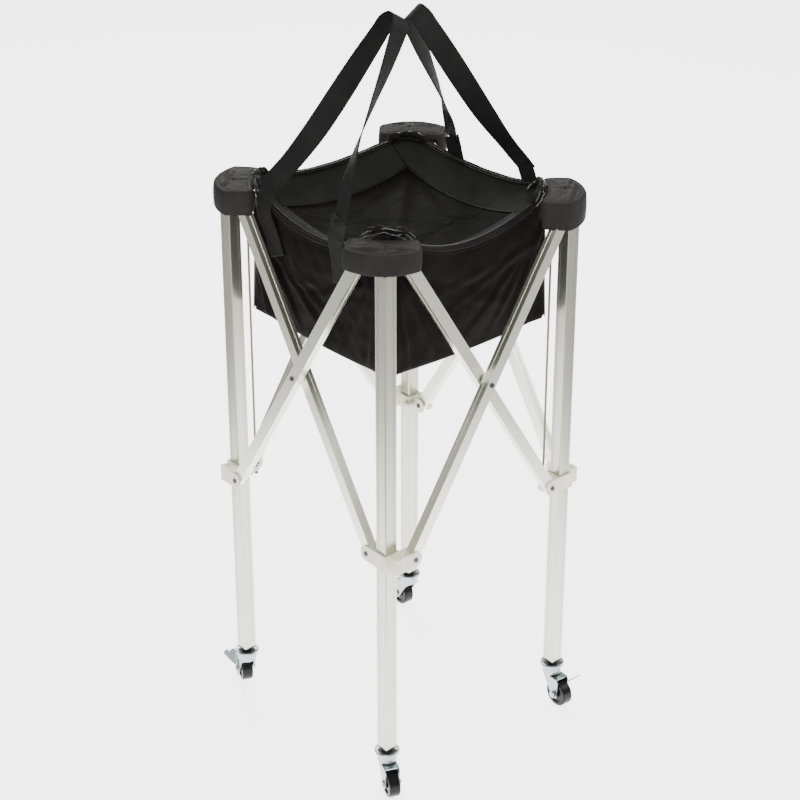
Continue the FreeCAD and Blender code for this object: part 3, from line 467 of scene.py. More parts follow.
class Finish(Enum):
    """Every finish of the basket, by the piece that wears it."""

    LEG = ExtrudedAluminium("leg_aluminium")
    HUB = MouldedPlastic("hub_black", (0.008, 0.008, 0.008), 0.5, shine=0.25)
    SLIDER = MouldedPlastic("slider_ivory", (0.955, 0.94, 0.77), 0.42, shine=0.4, coat=0.1)
    FOOT = MouldedPlastic("foot_black", (0.009, 0.0095, 0.01), 0.4, shine=0.3)
    PIN = PlatedSteel("pin_steel", (0.07, 0.071, 0.073), 0.32)
    ZINC = PlatedSteel("zinc_plate")
    TYRE = MouldedPlastic("wheel_black", (0.005, 0.005, 0.005), 0.3, shine=0.16, coat=0.03)
    CAP = WovenCloth(
        "cap_cloth", (0.0225, 0.0203, 0.0194), (0.045, 0.0412, 0.0398), 0.0013, 0.6, 0.0001
    )
    BAG = WovenCloth("bag_cloth", (0.004, 0.0033, 0.0026), (0.012, 0.0101, 0.0081), 0.0011, 0.55)
    LID = WovenCloth(
        "lid_cloth",
        (0.0135, 0.0131, 0.0127),
        (0.032, 0.0312, 0.0302),
        0.0011,
        0.58,
        seam_lines=True
    )
    BINDING = WovenCloth(
        "binding_tape", (0.007, 0.0066, 0.0062), (0.022, 0.0208, 0.02), 0.0009, 0.5, 0.00012
    )
    WEBBING = RibbedWebbing("strap_webbing", 0.038)
    NET = KnittedMesh("lid_net")
    ZIP = MouldedPlastic("zip_coil", (0.012, 0.012, 0.0122), 0.3, shine=0.35, coat=0.1)
    # COIL is a lighter, glossier copy of the ZIP coil, used on the corner coils behind the caps and
    # on the pull tab; its lighter colour is painted highlight for the glints there.
    COIL = MouldedPlastic("zip_coil_bright", (0.03, 0.03, 0.031), 0.18, shine=0.6, coat=0.8)
    CORD = TwistedThread("cord_tan", (0.14, 0.105, 0.07), (0.40, 0.32, 0.23))
    THREAD = TwistedThread("stitch_thread", (0.012, 0.0115, 0.011), (0.035, 0.033, 0.031), 0.001)


class Wardrobe:
    """Makes each finish's material once and hands it out."""

    def __init__(self) -> None:
        """Start empty."""
        self.made: dict[str, bpy.types.Material] = {}

    def get(self, finish: Union[Finish, ExtrudedAluminium]) -> bpy.types.Material:
        """The material of a finish, made at its first use."""
        recipe = finish.value if isinstance(finish, Finish) else finish
        if recipe.name not in self.made:
            self.made[recipe.name] = recipe.material()
        return self.made[recipe.name]


WARDROBE = Wardrobe()


# Surfaces

@dataclass
class Surface:
    """A grid of points worked out from two parameters, with its map in metres."""

    points: Array
    wrap_rows: bool = False
    wrap_columns: bool = False
    cap_ends: bool = False
    flip: bool = False
    mapped: Optional[Array] = None

    def faces(self) -> Array:
        """Quads between neighbouring grid points, wrapped where the grid closes."""
        rows, columns = self.points.shape[:2]
        down = np.arange(rows if self.wrap_rows else rows - 1)
        over = np.arange(columns if self.wrap_columns else columns - 1)
        row, column = np.meshgrid(down, over, indexing="ij")
        below, beside = (row + 1) % rows, (column + 1) % columns
        quads = np.stack(
            [
                row * columns + column,
                row * columns + beside,
                below * columns + beside,
                below * columns + column,
            ],
            axis=-1,
        ).reshape(-1, 4)
        return quads[:, ::-1] if self.flip else quads

    def lengths(self) -> Array:
        """Distance along the columns and the rows from the grid's first point, for every grid
        corner.
        """
        points = self.points
        if self.wrap_columns:
            points = np.concatenate([points, points[:, :1]], axis=1)
        if self.wrap_rows:
            points = np.concatenate([points, points[:1]], axis=0)
        step = np.linalg.norm(np.diff(points, axis=1), axis=2).mean(axis=0)
        rise = np.linalg.norm(np.diff(points, axis=0), axis=2).mean(axis=1)
        across = np.concatenate([[0.0], np.cumsum(step)])
        along = np.concatenate([[0.0], np.cumsum(rise)])
        return np.stack(np.meshgrid(across, along), axis=-1)

    def build(self, name: str, smooth: bool = True) -> bpy.types.Object:
        """Put the grid into a mesh object at the origin.

        Args:
            name: the piece's name.
            smooth: whether it shades smoothly.

        Returns:
            The new object.
        """
        rows, columns = self.points.shape[:2]
        vertices = self.points.reshape(-1, 3)
        quads = self.faces()
        polygons = quads.tolist()
        if self.cap_ends:
            first = list(range(columns))
            last = [(rows - 1) * columns + number for number in range(columns)]
            ends = [first, last[::-1]] if self.flip else [first[::-1], last]
            polygons += ends
        mesh = bpy.data.meshes.new(name)
        mesh.from_pydata(vertices.tolist(), [], polygons)
        mapped = self.lengths() if self.mapped is None else self.mapped
        down = np.arange(rows if self.wrap_rows else rows - 1)
        over = np.arange(columns if self.wrap_columns else columns - 1)
        row, column = np.meshgrid(down, over, indexing="ij")
        corners = [(row, column), (row, column + 1), (row + 1, column + 1), (row + 1, column)]
        if self.flip:
            corners = corners[::-1]
        loops = np.stack([mapped[r, c] for r, c in corners], axis=2).reshape(-1, 2)
        if self.cap_ends:
            loops = np.concatenate([loops, np.zeros((2 * columns, 2))])
        layer = mesh.uv_layers.new(name="UVMap")
        layer.data.foreach_set("uv", loops.astype(np.float32).ravel())
        mesh.polygons.foreach_set("use_smooth", np.full(len(mesh.polygons), smooth))
        mesh.update()
        return add_object(name, mesh)


def add_object(name: str, mesh: bpy.types.Mesh) -> bpy.types.Object:
    """A new object in the scene for a mesh."""
    made = bpy.data.objects.new(name, mesh)
    bpy.context.scene.collection.objects.link(made)
    return made


def dress(
    piece: bpy.types.Object, finish: Union[Finish, ExtrudedAluminium]
) -> bpy.types.Object:
    """Give a piece its material in its single slot."""
    piece.data.materials.clear()
    piece.data.materials.append(WARDROBE.get(finish))
    return piece


def thicken(piece: bpy.types.Object, amount: float, offset: float = -1.0) -> bpy.types.Object:
    """Give a sheet its thickness, inwards by default."""
    wall = piece.modifiers.new("thickness", "SOLIDIFY")
    wall.thickness = amount
    wall.offset = offset
    wall.use_rim = True
    return piece


def soften(piece: bpy.types.Object, levels: int = 1) -> bpy.types.Object:
    """Subdivide a piece smoothly."""
    fine = piece.modifiers.new("smooth", "SUBSURF")
    fine.levels = levels
    fine.render_levels = levels
    return piece


def smooth_path(points: Array, count: int) -> Array:
    """Catmull-Rom curve through points, at even steps of its parameter.

    Args:
        points: rows of any width.
        count: how many samples to give.

    Returns:
        The samples, as rows.
    """
    padded = np.concatenate([[2 * points[0] - points[1]], points, [2 * points[-1] - points[-2]]])
    place = np.linspace(0, len(points) - 1, count)
    number = np.minimum(place.astype(int), len(points) - 2)
    share = (place - number)[:, None]
    before, here, there, after = (padded[number + step] for step in range(4))
    return 0.5 * (
        2 * here
        + (there - before) * share
        + (2 * before - 5 * here + 4 * there - after) * share**2
        + (3 * here - before - 3 * there + after) * share**3
    )


def even_path(path: Array, step: float) -> Array:
    """The same path with points step metres apart along it."""
    reach = np.concatenate([[0.0], np.cumsum(np.linalg.norm(np.diff(path, axis=0), axis=1))])
    count = max(2, int(round(reach[-1] / step)) + 1)
    at = np.linspace(0, reach[-1], count)
    return np.stack([np.interp(at, reach, path[:, part]) for part in range(3)], axis=1)


def unit(vectors: Array) -> Array:
    """Vectors scaled to length one."""
    return vectors / np.maximum(np.linalg.norm(vectors, axis=-1, keepdims=True), 1e-12)


def path_frames(path: Array, up: Sequence[float] = (0, 0, 1)) -> tuple[Array, Array, Array]:
    """Direction, side and lift at each point of a path, with the lift near up."""
    along = unit(np.gradient(path, axis=0))
    side = unit(np.cross(along, np.asarray(up, float)[None, :]))
    return along, side, unit(np.cross(side, along))


def swept(
    path: Array, section: Array, up: Sequence[float] = (0, 0, 1), cap: bool = True
) -> Surface:
    """A closed section carried along a path.

    Each point is the path's point plus the section's first number along the side and its
    second along the lift, where a section may differ from point to point of the path.

    Args:
        path: points in metres.
        section: (corners, 2), or (path points, corners, 2), anticlockwise.
        up: direction that the lift stays near.
        cap: whether the two ends are closed.

    Returns:
        The surface, one row to each point of the path.
    """
    _, side, lift = path_frames(path, up)
    if section.ndim == 2:
        section = np.broadcast_to(section, (len(path), *section.shape))
    points = path[:, None] + section[..., :1] * side[:, None] + section[..., 1:] * lift[:, None]
    return Surface(points, wrap_columns=True, cap_ends=cap, flip=True)


def ring(radius: float, corners: int, flat: float = 1.0) -> Array:
    """Round section; flat scales its lift."""
    angle = np.linspace(0, 2 * math.pi, corners, endpoint=False)
    return np.stack([radius * np.cos(angle), radius * flat * np.sin(angle)], axis=1)


def strip_section(width: float, thick: float, corners: int = 6) -> Array:
    """Flat section with rounded edges."""
    half, edge = width / 2, thick / 2
    angle = np.linspace(-math.pi / 2, math.pi / 2, corners)
    right = np.stack([half - edge + edge * np.cos(angle), edge * np.sin(angle)], axis=1)
    top = np.stack([np.linspace(half - edge, edge - half, 8)[1:-1], np.full(6, edge)], axis=1)
    left = -right
    bottom = -top
    return np.concatenate([right, top, left, bottom])


def stitch_row(name: str, path: Array, lift: Array, length: float = 0.003, gap: float = 0.0016,
               radius: float = 0.0004) -> bpy.types.Object:
    """A row of stitches: small spindles lying along a path.

    A spindle is a six-sided tube of five rings whose radius follows a half sine.

    Args:
        name: the piece's name.
        path: points along the row, on the cloth.
        lift: the cloth's outward direction, one for all or one to each point.
        length: of one stitch.
        gap: between stitches.
        radius: of the thread.

    Returns:
        The new object.
    """
    reach = np.concatenate([[0.0], np.cumsum(np.linalg.norm(np.diff(path, axis=0), axis=1))])
    starts = np.arange(gap / 2, reach[-1] - length, length + gap)
    at = starts[:, None] + np.linspace(0, length, 5)[None, :]
    centre = np.stack([np.interp(at, reach, path[:, part]) for part in range(3)], axis=-1)
    lift = np.broadcast_to(np.asarray(lift, float), path.shape)
    out = unit(np.stack([np.interp(at, reach, lift[:, part]) for part in range(3)], axis=-1))
    ahead = unit(centre[:, -1:] - centre[:, :1])
    side = unit(np.cross(ahead, out))
    swell = radius * np.sin(np.linspace(0.12, math.pi - 0.12, 5))[None, :, None, None]
    angle = np.linspace(0, 2 * math.pi, 6, endpoint=False)
    turn_side = np.cos(angle)[None, None, :, None] * side[:, :, None]
    turn_out = np.sin(angle)[None, None, :, None] * out[:, :, None]
    points = centre[:, :, None] + out[:, :, None] * radius * 0.4 + swell * (turn_side + turn_out)
    count = len(starts)
    base = (np.arange(count) * 30)[:, None, None, None]
    rows = (np.arange(4) * 6)[None, :, None, None]
    here = np.arange(6)[None, None, :, None]
    quads = base + rows + np.concatenate(
        [here, (here + 1) % 6, (here + 1) % 6 + 6, here + 6], axis=3
    )
    first = (np.arange(count) * 30)[:, None] + np.arange(6)[::-1][None, :]
    last = (np.arange(count) * 30 + 24)[:, None] + np.arange(6)[None, :]
    mesh = bpy.data.meshes.new(name)
    faces = quads.reshape(-1, 4)[
        :, ::-1
    ].tolist() + first[:, ::-1].tolist() + last[:, ::-1].tolist()
    mesh.from_pydata(points.reshape(-1, 3).tolist(), [], faces)
    layer = mesh.uv_layers.new(name="UVMap")
    corner = np.zeros(len(mesh.loops), np.int32)
    mesh.loops.foreach_get("vertex_index", corner)
    layer.data.foreach_set("uv", points.reshape(-1, 3)[corner][:, :2].astype(np.float32).ravel())
    mesh.polygons.foreach_set("use_smooth", np.ones(len(mesh.polygons), bool))
    made = add_object(name, mesh)
    fix_normals(made)
    return dress(made, Finish.THREAD)


def fix_normals(piece: bpy.types.Object) -> bpy.types.Object:
    """Turn every face of a closed mesh outwards."""
    work = bmesh.new()
    work.from_mesh(piece.data)
    bmesh.ops.recalc_face_normals(work, faces=work.faces)
    work.to_mesh(piece.data)
    work.free()
    return piece


def wave(across: Array, up: Array, seed: int, scale: float, count: int = 7) -> Array:
    """Smooth uneven relief from minus one to one: a sum of sine waves in seeded directions."""
    chance = np.random.default_rng(seed)
    total = np.zeros(np.broadcast(across, up).shape)
    for _ in range(count):
        angle = chance.uniform(0, 2 * math.pi)
        pitch = scale * chance.uniform(0.6, 1.7)
        phase = chance.uniform(0, 2 * math.pi)
        total += np.sin(
            (across * math.cos(angle) + up * math.sin(angle)) * 2 * math.pi / pitch + phase
        )
    return total / count


def crease(
    across: Array, up: Array, start: Sequence[float], end: Sequence[float], width: float
) -> Array:
    """One fold: a ridge along the line from start to end, as a bell curve across it that fades
    to its ends.
    """
    a, b = np.asarray(start, float), np.asarray(end, float)
    line = b - a
    length = np.linalg.norm(line)
    share = ((across - a[0]) * line[0] + (up - a[1]) * line[1]) / length**2
    off = ((across - a[0]) * line[1] - (up - a[1]) * line[0]) / length
    fade = np.clip(share, 0, 1) * np.clip(1 - share, 0, 1) * 4
    return np.exp(-((off / width) ** 2)) * fade


# The frame's corners and sides

class Corner(Enum):
    """A corner of the frame by the quarter turns from the front left one."""

    FRONT_LEFT = 0
    FRONT_RIGHT = 1
    REAR_RIGHT = 2
    REAR_LEFT = 3

    @property
    def key(self) -> str:
        """The corner's name in the frame's nodes."""
        return self.name.lower()


class Side(Enum):
    """A side of the bag by the quarter turns from the +X one."""

    RIGHT = 0
    REAR = 1
    LEFT = 2
    FRONT = 3

    @property
    def key(self) -> str:
        """The side's name."""
        return self.name.lower()

    @property
    def body(self) -> str:
        """The frame body that the wall of this side hangs from."""
        return {
            Side.RIGHT: "frame_front_right",
            Side.REAR: "frame_rear_left",
            Side.LEFT: "frame_front_left",
            Side.FRONT: "frame_front_left",
        }[self]

    @property
    def axis(self) -> tuple[int, int, int]:
        """The direction that the wall gathers along."""
        return (0, 1, 0) if self in (Side.RIGHT, Side.LEFT) else (1, 0, 0)


def quarter(points: Array, turns: int) -> Array:
    """Points turned about Z by quarter turns."""
    cosine, sine = ((1, 0), (0, 1), (-1, 0), (0, -1))[turns % 4]
    x, y = points[..., 0], points[..., 1]
    return np.stack([x * cosine - y * sine, x * sine + y * cosine, points[..., 2]], axis=-1)


@dataclass
class BagShape:
    """Sizes of the bag in metres, and the surfaces that its pieces share."""

    floor_half: float = 0.178
    rim_half: float = 0.188
    floor_round: float = 0.012
    rim_round: float = 0.068
    floor: float = 0.782
    corner: float = 1.030
    sag: float = 0.9715
    sag_rise: float = 0.0255
    sag_span: float = 0.165
    peak: float = 1.0195
    peak_lean: tuple = (-0.0055, -0.003)
    peak_round: float = 0.005
    floor_sag: float = 0.008
    seam: float = 0.1686
    gathered: float = 0.172

    def half(self, height: Array) -> Array:
        """Outer half width at a height, a straight line from floor to corner."""
        share = (height - self.floor) / (self.corner - self.floor)
        return self.floor_half + share * (self.rim_half - self.floor_half)

    def round(self, height: Array) -> Array:
        """Corner radius at a height, a straight line from floor to corner."""
        share = (height - self.floor) / (self.corner - self.floor)
        return self.floor_round + share * (self.rim_round - self.floor_round)

    def peak_at(self, x: Array, y: Array) -> Array:
        """Height of the rim's corners, on a plane that leans with where each one is tied."""
        return self.peak + (self.peak_lean[0] * x + self.peak_lean[1] * y) / self.seam

    def sag_at(self, along: Array, off: Array, peak: Array) -> Array:
        """Arc of a circle that the rim hangs in along a side, higher towards +X and +Y."""
        low = self.sag + self.sag_rise * (off / self.rim_half + 1) / 2
        depth = np.maximum(peak - low, 0.002)
        radius = (self.sag_span**2 + depth**2) / (2 * depth)
        hang = low + radius - np.sqrt(
            np.maximum(radius**2 - np.minimum(np.abs(along), self.sag_span) ** 2, 0)
        )
        soft = self.peak_round
        return -soft * np.logaddexp(-hang / soft, -(peak + 0.003) / soft)

    def rim(self, x: Array, y: Array) -> Array:
        """Rim height over a point of the outline."""
        peak = self.peak_at(x, y)
        return np.where(np.abs(x) > np.abs(y), self.sag_at(y, x, peak), self.sag_at(x, y, peak))

    def hem(self, share: Array) -> Array:
        """Height of the bag's lower edge, which hangs a little between the corners."""
        return self.floor - self.floor_sag * np.clip(1 - np.abs(share) ** 2.2, 0, 1)

    def outline(self, share: Array, height: Array, grow: float = 0.0) -> tuple[Array, Array]:
        """Point of the +X side: straight half way, then round to the middle of the corner.

        Args:
            share: from -1 at one corner's middle to 1 at the next.
            height: above the ground, in metres.
            grow: outward offset.

        Returns:
            x and y.
        """
        half, radius = self.half(height) + grow, self.round(height) + grow
        straight = half - radius
        place = share * (straight + radius * math.pi / 4)
        angle = np.maximum(np.abs(place) - straight, 0) / radius
        x = straight + radius * np.cos(angle)
        y = np.where(
            np.abs(place) <= straight, place, np.sign(place) * (straight + radius * np.sin(angle))
        )
        return x, y

    def reach(self, angle: Array, height: float, grow: float = 0.0) -> Array:
        """Distance from the middle to the outline along a direction."""
        half, radius = self.half(height) + grow, self.round(height) + grow
        folded = np.abs((angle + math.pi / 4) % (math.pi / 2) - math.pi / 4)
        centre = half - radius
        flat = half / np.cos(folded)
        dot = centre * (np.cos(folded) + np.sin(folded))
        cross = centre * (np.cos(folded) - np.sin(folded))
        arc = dot + np.sqrt(np.maximum(radius**2 - cross**2, 0))
        return np.where(half * np.tan(folded) <= centre, flat, arc)


SHAPE = BagShape()


def gather(piece: bpy.types.Object, side: Side) -> bpy.types.Object:
    """Hang a piece on its side's frame body, with a mesh of its own."""
    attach(piece, side.body)
    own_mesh(piece)
    return piece


@dataclass
class BagWalls:
    """Four walls of the bag, each a sheet with soft folds, and the binding on its rim."""

    columns: int = 170
    rows: int = 84
    cloth: float = 0.0014

    def relief(self, side: Side, across: Array, up: Array) -> Array:
        """Outward relief of a wall in metres: a bulge, pulled folds and fine unevenness.

        Each fold runs from a tied corner down to the hem, a narrow ridge with a wider
        hollow beside it.
        """
        span = 0.37
        depth = 0.2
        middle = np.cos(np.clip(across / span, -0.5, 0.5) * math.pi)
        belly = 0.004 * middle * np.sin(np.clip(up / depth, 0, 1) * math.pi)
        seed = 11 + side.value
        fine = wave(across, up, seed, 0.045) * 0.0012 + wave(across, up, seed + 20, 0.12) * 0.0026
        chance = np.random.default_rng(seed)
        folds = np.zeros_like(across)
        for end in (-1, 1):
            for number in range(6):
                begin = (end * (0.172 - 0.004 * number), 0.215 - 0.014 * number)
                reach = 0.03 + 0.05 * number + chance.uniform(-0.012, 0.012)
                finish = (end * (0.17 - reach), -0.01 + 0.022 * number * chance.uniform(0.3, 1.2))
                tall = chance.uniform(0.0022, 0.0042)
                wide = 0.0045 + 0.0012 * number
                beside = 0.013 * end
                folds += tall * crease(across, up, begin, finish, wide)
                begin = (begin[0] - beside, begin[1] - 0.004)
                finish = (finish[0] - beside, finish[1])
                folds -= tall * 0.8 * crease(across, up, begin, finish, wide * 1.7)
        return belly + fine + folds

    def wall(self, side: Side) -> bpy.types.Object:
        """One wall: outline by height, moved outwards by the relief, which fades at its edges.

        The lower edge turns in over the last few millimetres and hangs between the corners.
        """
        share = np.linspace(-1, 1, self.columns)[None, :]
        level = (np.linspace(0, 1, self.rows) ** 0.9)[:, None]
        height = np.full((self.rows, self.columns), SHAPE.floor)
        x, y = SHAPE.outline(share, height)
        hem = SHAPE.hem(share)
        for _ in range(3):
            spun = quarter(np.stack([x, y, height], axis=-1), side.value)
            top = SHAPE.rim(spun[..., 0], spun[..., 1])
            height = hem + level * (top - hem)
            x, y = SHAPE.outline(share, np.maximum(height, SHAPE.floor))
        up = height - SHAPE.floor
        across = share * 0.176 * np.ones_like(up)
        edge = np.clip((1 - np.abs(share)) / 0.06, 0, 1) * np.clip((top - height) / 0.02, 0, 1)
        rise = height - hem
        edge = edge * np.clip(rise / 0.012, 0, 1)
        turn_in = 0.005 * (1 - np.sqrt(np.clip(1 - (1 - np.clip(rise / 0.007, 0, 1)) ** 2, 0, 1)))
        out = self.relief(side, across, up) * edge - turn_in
        around = np.gradient(np.stack([x, y], axis=-1), axis=1)
        away = unit(np.stack([around[..., 1], -around[..., 0]], axis=-1))
        points = np.stack([x + away[..., 0] * out, y + away[..., 1] * out, height], axis=-1)
        piece = Surface(quarter(points, side.value)).build(f"bag_wall_{side.key}")
        thicken(piece, self.cloth)
        return dress(piece, Finish.BAG)

    def rim_path(self, side: Side, grow: float, lift: float, count: int = 90) -> Array:
        """Line along the rim of a side, grown outwards and lifted."""
        share = np.linspace(-1, 1, count)
        height = np.full(count, SHAPE.sag)
        for _ in range(4):
            x, y = SHAPE.outline(share, height, grow)
            spun = quarter(np.stack([x, y, height], axis=-1), side.value)
            height = SHAPE.rim(spun[:, 0], spun[:, 1])
        return spun * (1, 1, 0) + np.stack([height * 0, height * 0, height + lift], axis=1)

    def binding(self, side: Side) -> bpy.types.Object:
        """Bound edge of the rim: an oval roll whose size wavers a little."""
        path = self.rim_path(side, -0.001, -0.0035, 150)
        wobble = 1 + 0.06 * np.sin(np.linspace(0, 37, len(path)) + side.value)
        section = ring(0.0024, 12, 1.75)[None] * wobble[:, None, None]
        piece = swept(path, section).build(f"rim_binding_{side.key}")
        return dress(piece, Finish.BINDING)

    def stitches(self, side: Side) -> bpy.types.Object:
        """Row of stitches under the binding."""
        path = even_path(self.rim_path(side, 0.0012, -0.0105, 150), 0.004)
        away = quarter(np.array([[1.0, 0.0, 0.0]]), side.value)
        radial = unit(path * (1, 1, 0))
        return stitch_row(f"rim_stitches_{side.key}", path, unit(radial * 0.6 + away))

    def corner_seam(self, corner: Corner) -> None:
        """Taped seam down a corner of the bag, from the rim to the floor."""
        seat = quarter(np.array([[-SHAPE.seam, -SHAPE.seam, 0.0]]), corner.value)[0]
        peak = float(SHAPE.peak_at(seat[0], seat[1]))
        height = np.linspace(SHAPE.floor + 0.001, peak - 0.004, 60)
        reach = SHAPE.reach(np.full(60, math.pi / 4), height) + 0.0004
        side = reach / math.sqrt(2)
        path = quarter(np.stack([-side, -side, height], axis=1), corner.value)
        out = quarter(np.array([[-1.0, -1.0, 0.0]]), corner.value)[0]
        section = np.stack([ring(0.0042, 10)[:, 0], ring(0.0011, 10)[:, 1]], axis=1)
        piece = swept(path, section, tuple(out)).build(f"corner_seam_{corner.key}")
        dress(piece, Finish.BINDING)
        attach(piece, f"frame_{corner.key}")

    def build(self) -> None:
        """All walls with their trim."""
        made = []
        for side in Side:
            wall = gather(self.wall(side), side)
            made += [wall, gather(self.binding(side), side), gather(self.stitches(side), side)]
            LOG.info("wall %s", side.key)
        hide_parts("bag_shell")
        for corner in Corner:
            self.corner_seam(corner)


class Strip(Enum):
    """A strip of the lid or floor by its span along Y and the body that it rides on."""

    FRONT = ("front", -1.0, -0.067, "frame_front_left")
    MIDDLE = ("middle", -0.067, 0.067, "bag")
    REAR = ("rear", 0.067, 1.0, "frame_rear_left")

    @property
    def corners(self) -> list[Corner]:
        """The corners that the strip hangs from."""
        return [
            corner
            for corner in Corner
            if self is Strip.MIDDLE or corner.key.startswith(self.value[0])
        ]

    def gather(self, piece: bpy.types.Object) -> bpy.types.Object:
        """Ride the strip's body, with a mesh of its own."""
        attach(piece, self.value[3])
        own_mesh(piece)
        return piece


@dataclass
class Lid:
    """Zipped lid in three strips: cloth border hung from the rim, and a sunken mesh."""

    mesh_half: float = 0.138
    mesh_height: float = 0.970
    edge_sag: float = 0.021
    mesh_sag: float = 0.006
    drop: float = 0.0012
    gap: float = 0.0024
    cloth: float = 0.001
    cuts: dict = field(
        default_factory=lambda: {
            ("border", False): (0.40, 0.14),
            ("border", True): (0.14, 0.15),
            ("net", False): (0.29, 0.078),
            ("net", True): (0.29, 0.142),
        }
    )

    def height(self, x: Array, y: Array) -> Array:
        """Lid surface: mesh level in the middle, then an eased rise to the rim along each ray.

        The mesh sinks as a shallow bowl with four soft creases towards its corners.
        """
        angle = np.arctan2(y, x)
        ray = np.maximum(np.hypot(x, y), 1e-6)
        outer = SHAPE.reach(angle, 0.99, -self.gap)
        inner = self.mesh_half / np.maximum(np.abs(np.cos(angle)), np.abs(np.sin(angle)))
        share = np.clip((ray - inner) / np.maximum(outer - inner, 1e-4), 0, 1)
        edge_x, edge_y = x * outer / ray, y * outer / ray
        rim = SHAPE.rim(edge_x, edge_y) - self.drop
        across, up = x / self.mesh_half, y / self.mesh_half
        corner = np.clip(np.abs(across), 0, 1) * np.clip(np.abs(up), 0, 1)
        bowl = np.clip(1 - across**2, 0, 1) * np.clip(1 - up**2, 0, 1)
        middle = self.mesh_height - self.edge_sag * (1 - corner**2) - self.mesh_sag * bowl
        middle = middle + self.pulls(x, y) * np.clip(
            bowl * 6, 0, 1
        ) + wave(x, y, 71, 0.07) * 0.0012 * np.sqrt(bowl)
        edge = np.minimum(np.abs(np.cos(angle)), np.abs(np.sin(angle))) / np.maximum(
            np.abs(np.cos(angle)), np.abs(np.sin(angle))
        )
        seam = self.mesh_height - self.edge_sag * (1 - edge**2)
        border = seam + (rim - seam) * share**1.1
        ripple = wave(x, y, 72, 0.045) * 0.0016 + wave(x, y, 73, 0.11) * 0.002
        border = border + ripple * np.sin(share * math.pi)
        return np.where(ray <= inner, middle, border)

    def pulls(self, x: Array, y: Array) -> Array:
        """Tension folds of the net: ridges from its corners, fanned out towards the middle."""
        half = self.mesh_half
        total = np.zeros_like(x)
        for sign_x, sign_y in ((1, 1), (1, -1), (-1, -1), (-1, 1)):
            start = (sign_x * half, sign_y * half)
            for turn, tall in ((0.0, 0.0042), (0.42, 0.0026), (-0.38, -0.0028)):
                cosine, sine = math.cos(turn), math.sin(turn)
                line = (-sign_x * cosine + sign_y * sine, -sign_x * sine - sign_y * cosine)
                end = (start[0] + line[0] * half * 1.1, start[1] + line[1] * half * 1.1)
                total = total + tall * crease(x, y, start, end, 0.011)
        return total

    def lines(self, low: float, high: float, breaks: Sequence[float], step: float) -> Array:
        """Even grid lines from low to high that fall on each break between them."""
        marks = [low] + [value for value in breaks if low < value < high] + [high]
        runs = [
            np.linspace(a, b, max(2, int(math.ceil((b - a) / step)) + 1))[:-1]
            for a, b in zip(marks, marks[1:])
        ]
        return np.concatenate(runs + [[high]])

    def half_at(self, y: Array, height: float = 0.99) -> Array:
        """Half width of the outline along X at a distance from the middle along Y."""
        half = SHAPE.half(height) - self.gap
        radius = SHAPE.round(height) - self.gap
        past = np.clip(np.abs(y) - (half - radius), 0, radius)
        return half - radius + np.sqrt(radius**2 - past**2)

    def strip(self, strip: Strip) -> list[bpy.types.Object]:
        """Border and mesh of one strip, as two sheets cut from one grid."""
        half = SHAPE.half(0.99) - self.gap
        key, low, high = strip.value[:3]
        inner = self.mesh_half
        rows = self.lines(max(low, -half), min(high, half), (-inner, inner), 0.0035)
        columns = self.lines(-1, 1, (-0.75, 0.75), 0.02)
        wide = self.half_at(rows)[:, None]
        knee = np.minimum(inner, wide * 0.9)
        share = columns[None, :]
        x = np.where(
            np.abs(share) <= 0.75,
            share / 0.75 * knee,
            np.sign(share) * (knee + (np.abs(share) - 0.75) / 0.25 * (wide - knee)),
        )
        y = rows[:, None] * np.ones_like(x)
        z = self.height(x, y)
        points = np.stack([x, y, z], axis=-1)
        is_mesh = (np.abs(columns[:-1] + columns[1:]) / 2 < 0.75)[None, :] & (
            np.abs(rows[:-1] + rows[1:]) / 2 < inner
        )[:, None]
        made = []
        for part, keep, finish in (("border", ~is_mesh, Finish.LID), ("net", is_mesh, Finish.NET)):
            surface = Surface(points, mapped=points[..., :2])
            piece = surface.build(f"lid_{part}_{key}")
            self.keep_faces(piece, keep.ravel())
            thicken(piece, self.cloth)
            made.append(dress(piece, finish))
        return made

    @staticmethod
    def keep_faces(piece: bpy.types.Object, keep: Array) -> None:
        """Delete the faces that aren't kept."""
        work = bmesh.new()
        work.from_mesh(piece.data)
        work.faces.ensure_lookup_table()
        gone = [work.faces[number] for number in np.flatnonzero(~keep)]
        bmesh.ops.delete(work, geom=gone, context="FACES")
        work.to_mesh(piece.data)
        work.free()

    def tape(self, side: Side) -> bpy.types.Object:
        """Flat tape sewn over the edge between border and mesh."""
        inner = self.mesh_half
        along = np.linspace(-inner, inner, 80)
        flat = quarter(np.stack([np.full(80, inner), along, along * 0], axis=1), side.value)
        section = strip_section(0.009, 0.0012, 4)
        path = flat + np.stack(
            [along * 0, along * 0, self.height(flat[:, 0], flat[:, 1]) + 0.0007], axis=1
        )
        piece = swept(path, section).build(f"net_tape_{side.key}")
        return dress(piece, Finish.BINDING)

    def build(self) -> None:
        """All strips with their tapes."""
        made: list[bpy.types.Object] = []
        for strip in Strip:
            border, net = self.strip(strip)
            made += [strip.gather(border), strip.gather(net)]
        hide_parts("lid")
        for piece in made:
            LOG.info("lid piece %s", piece.name)
        for side in Side:
            gather(self.tape(side), side)


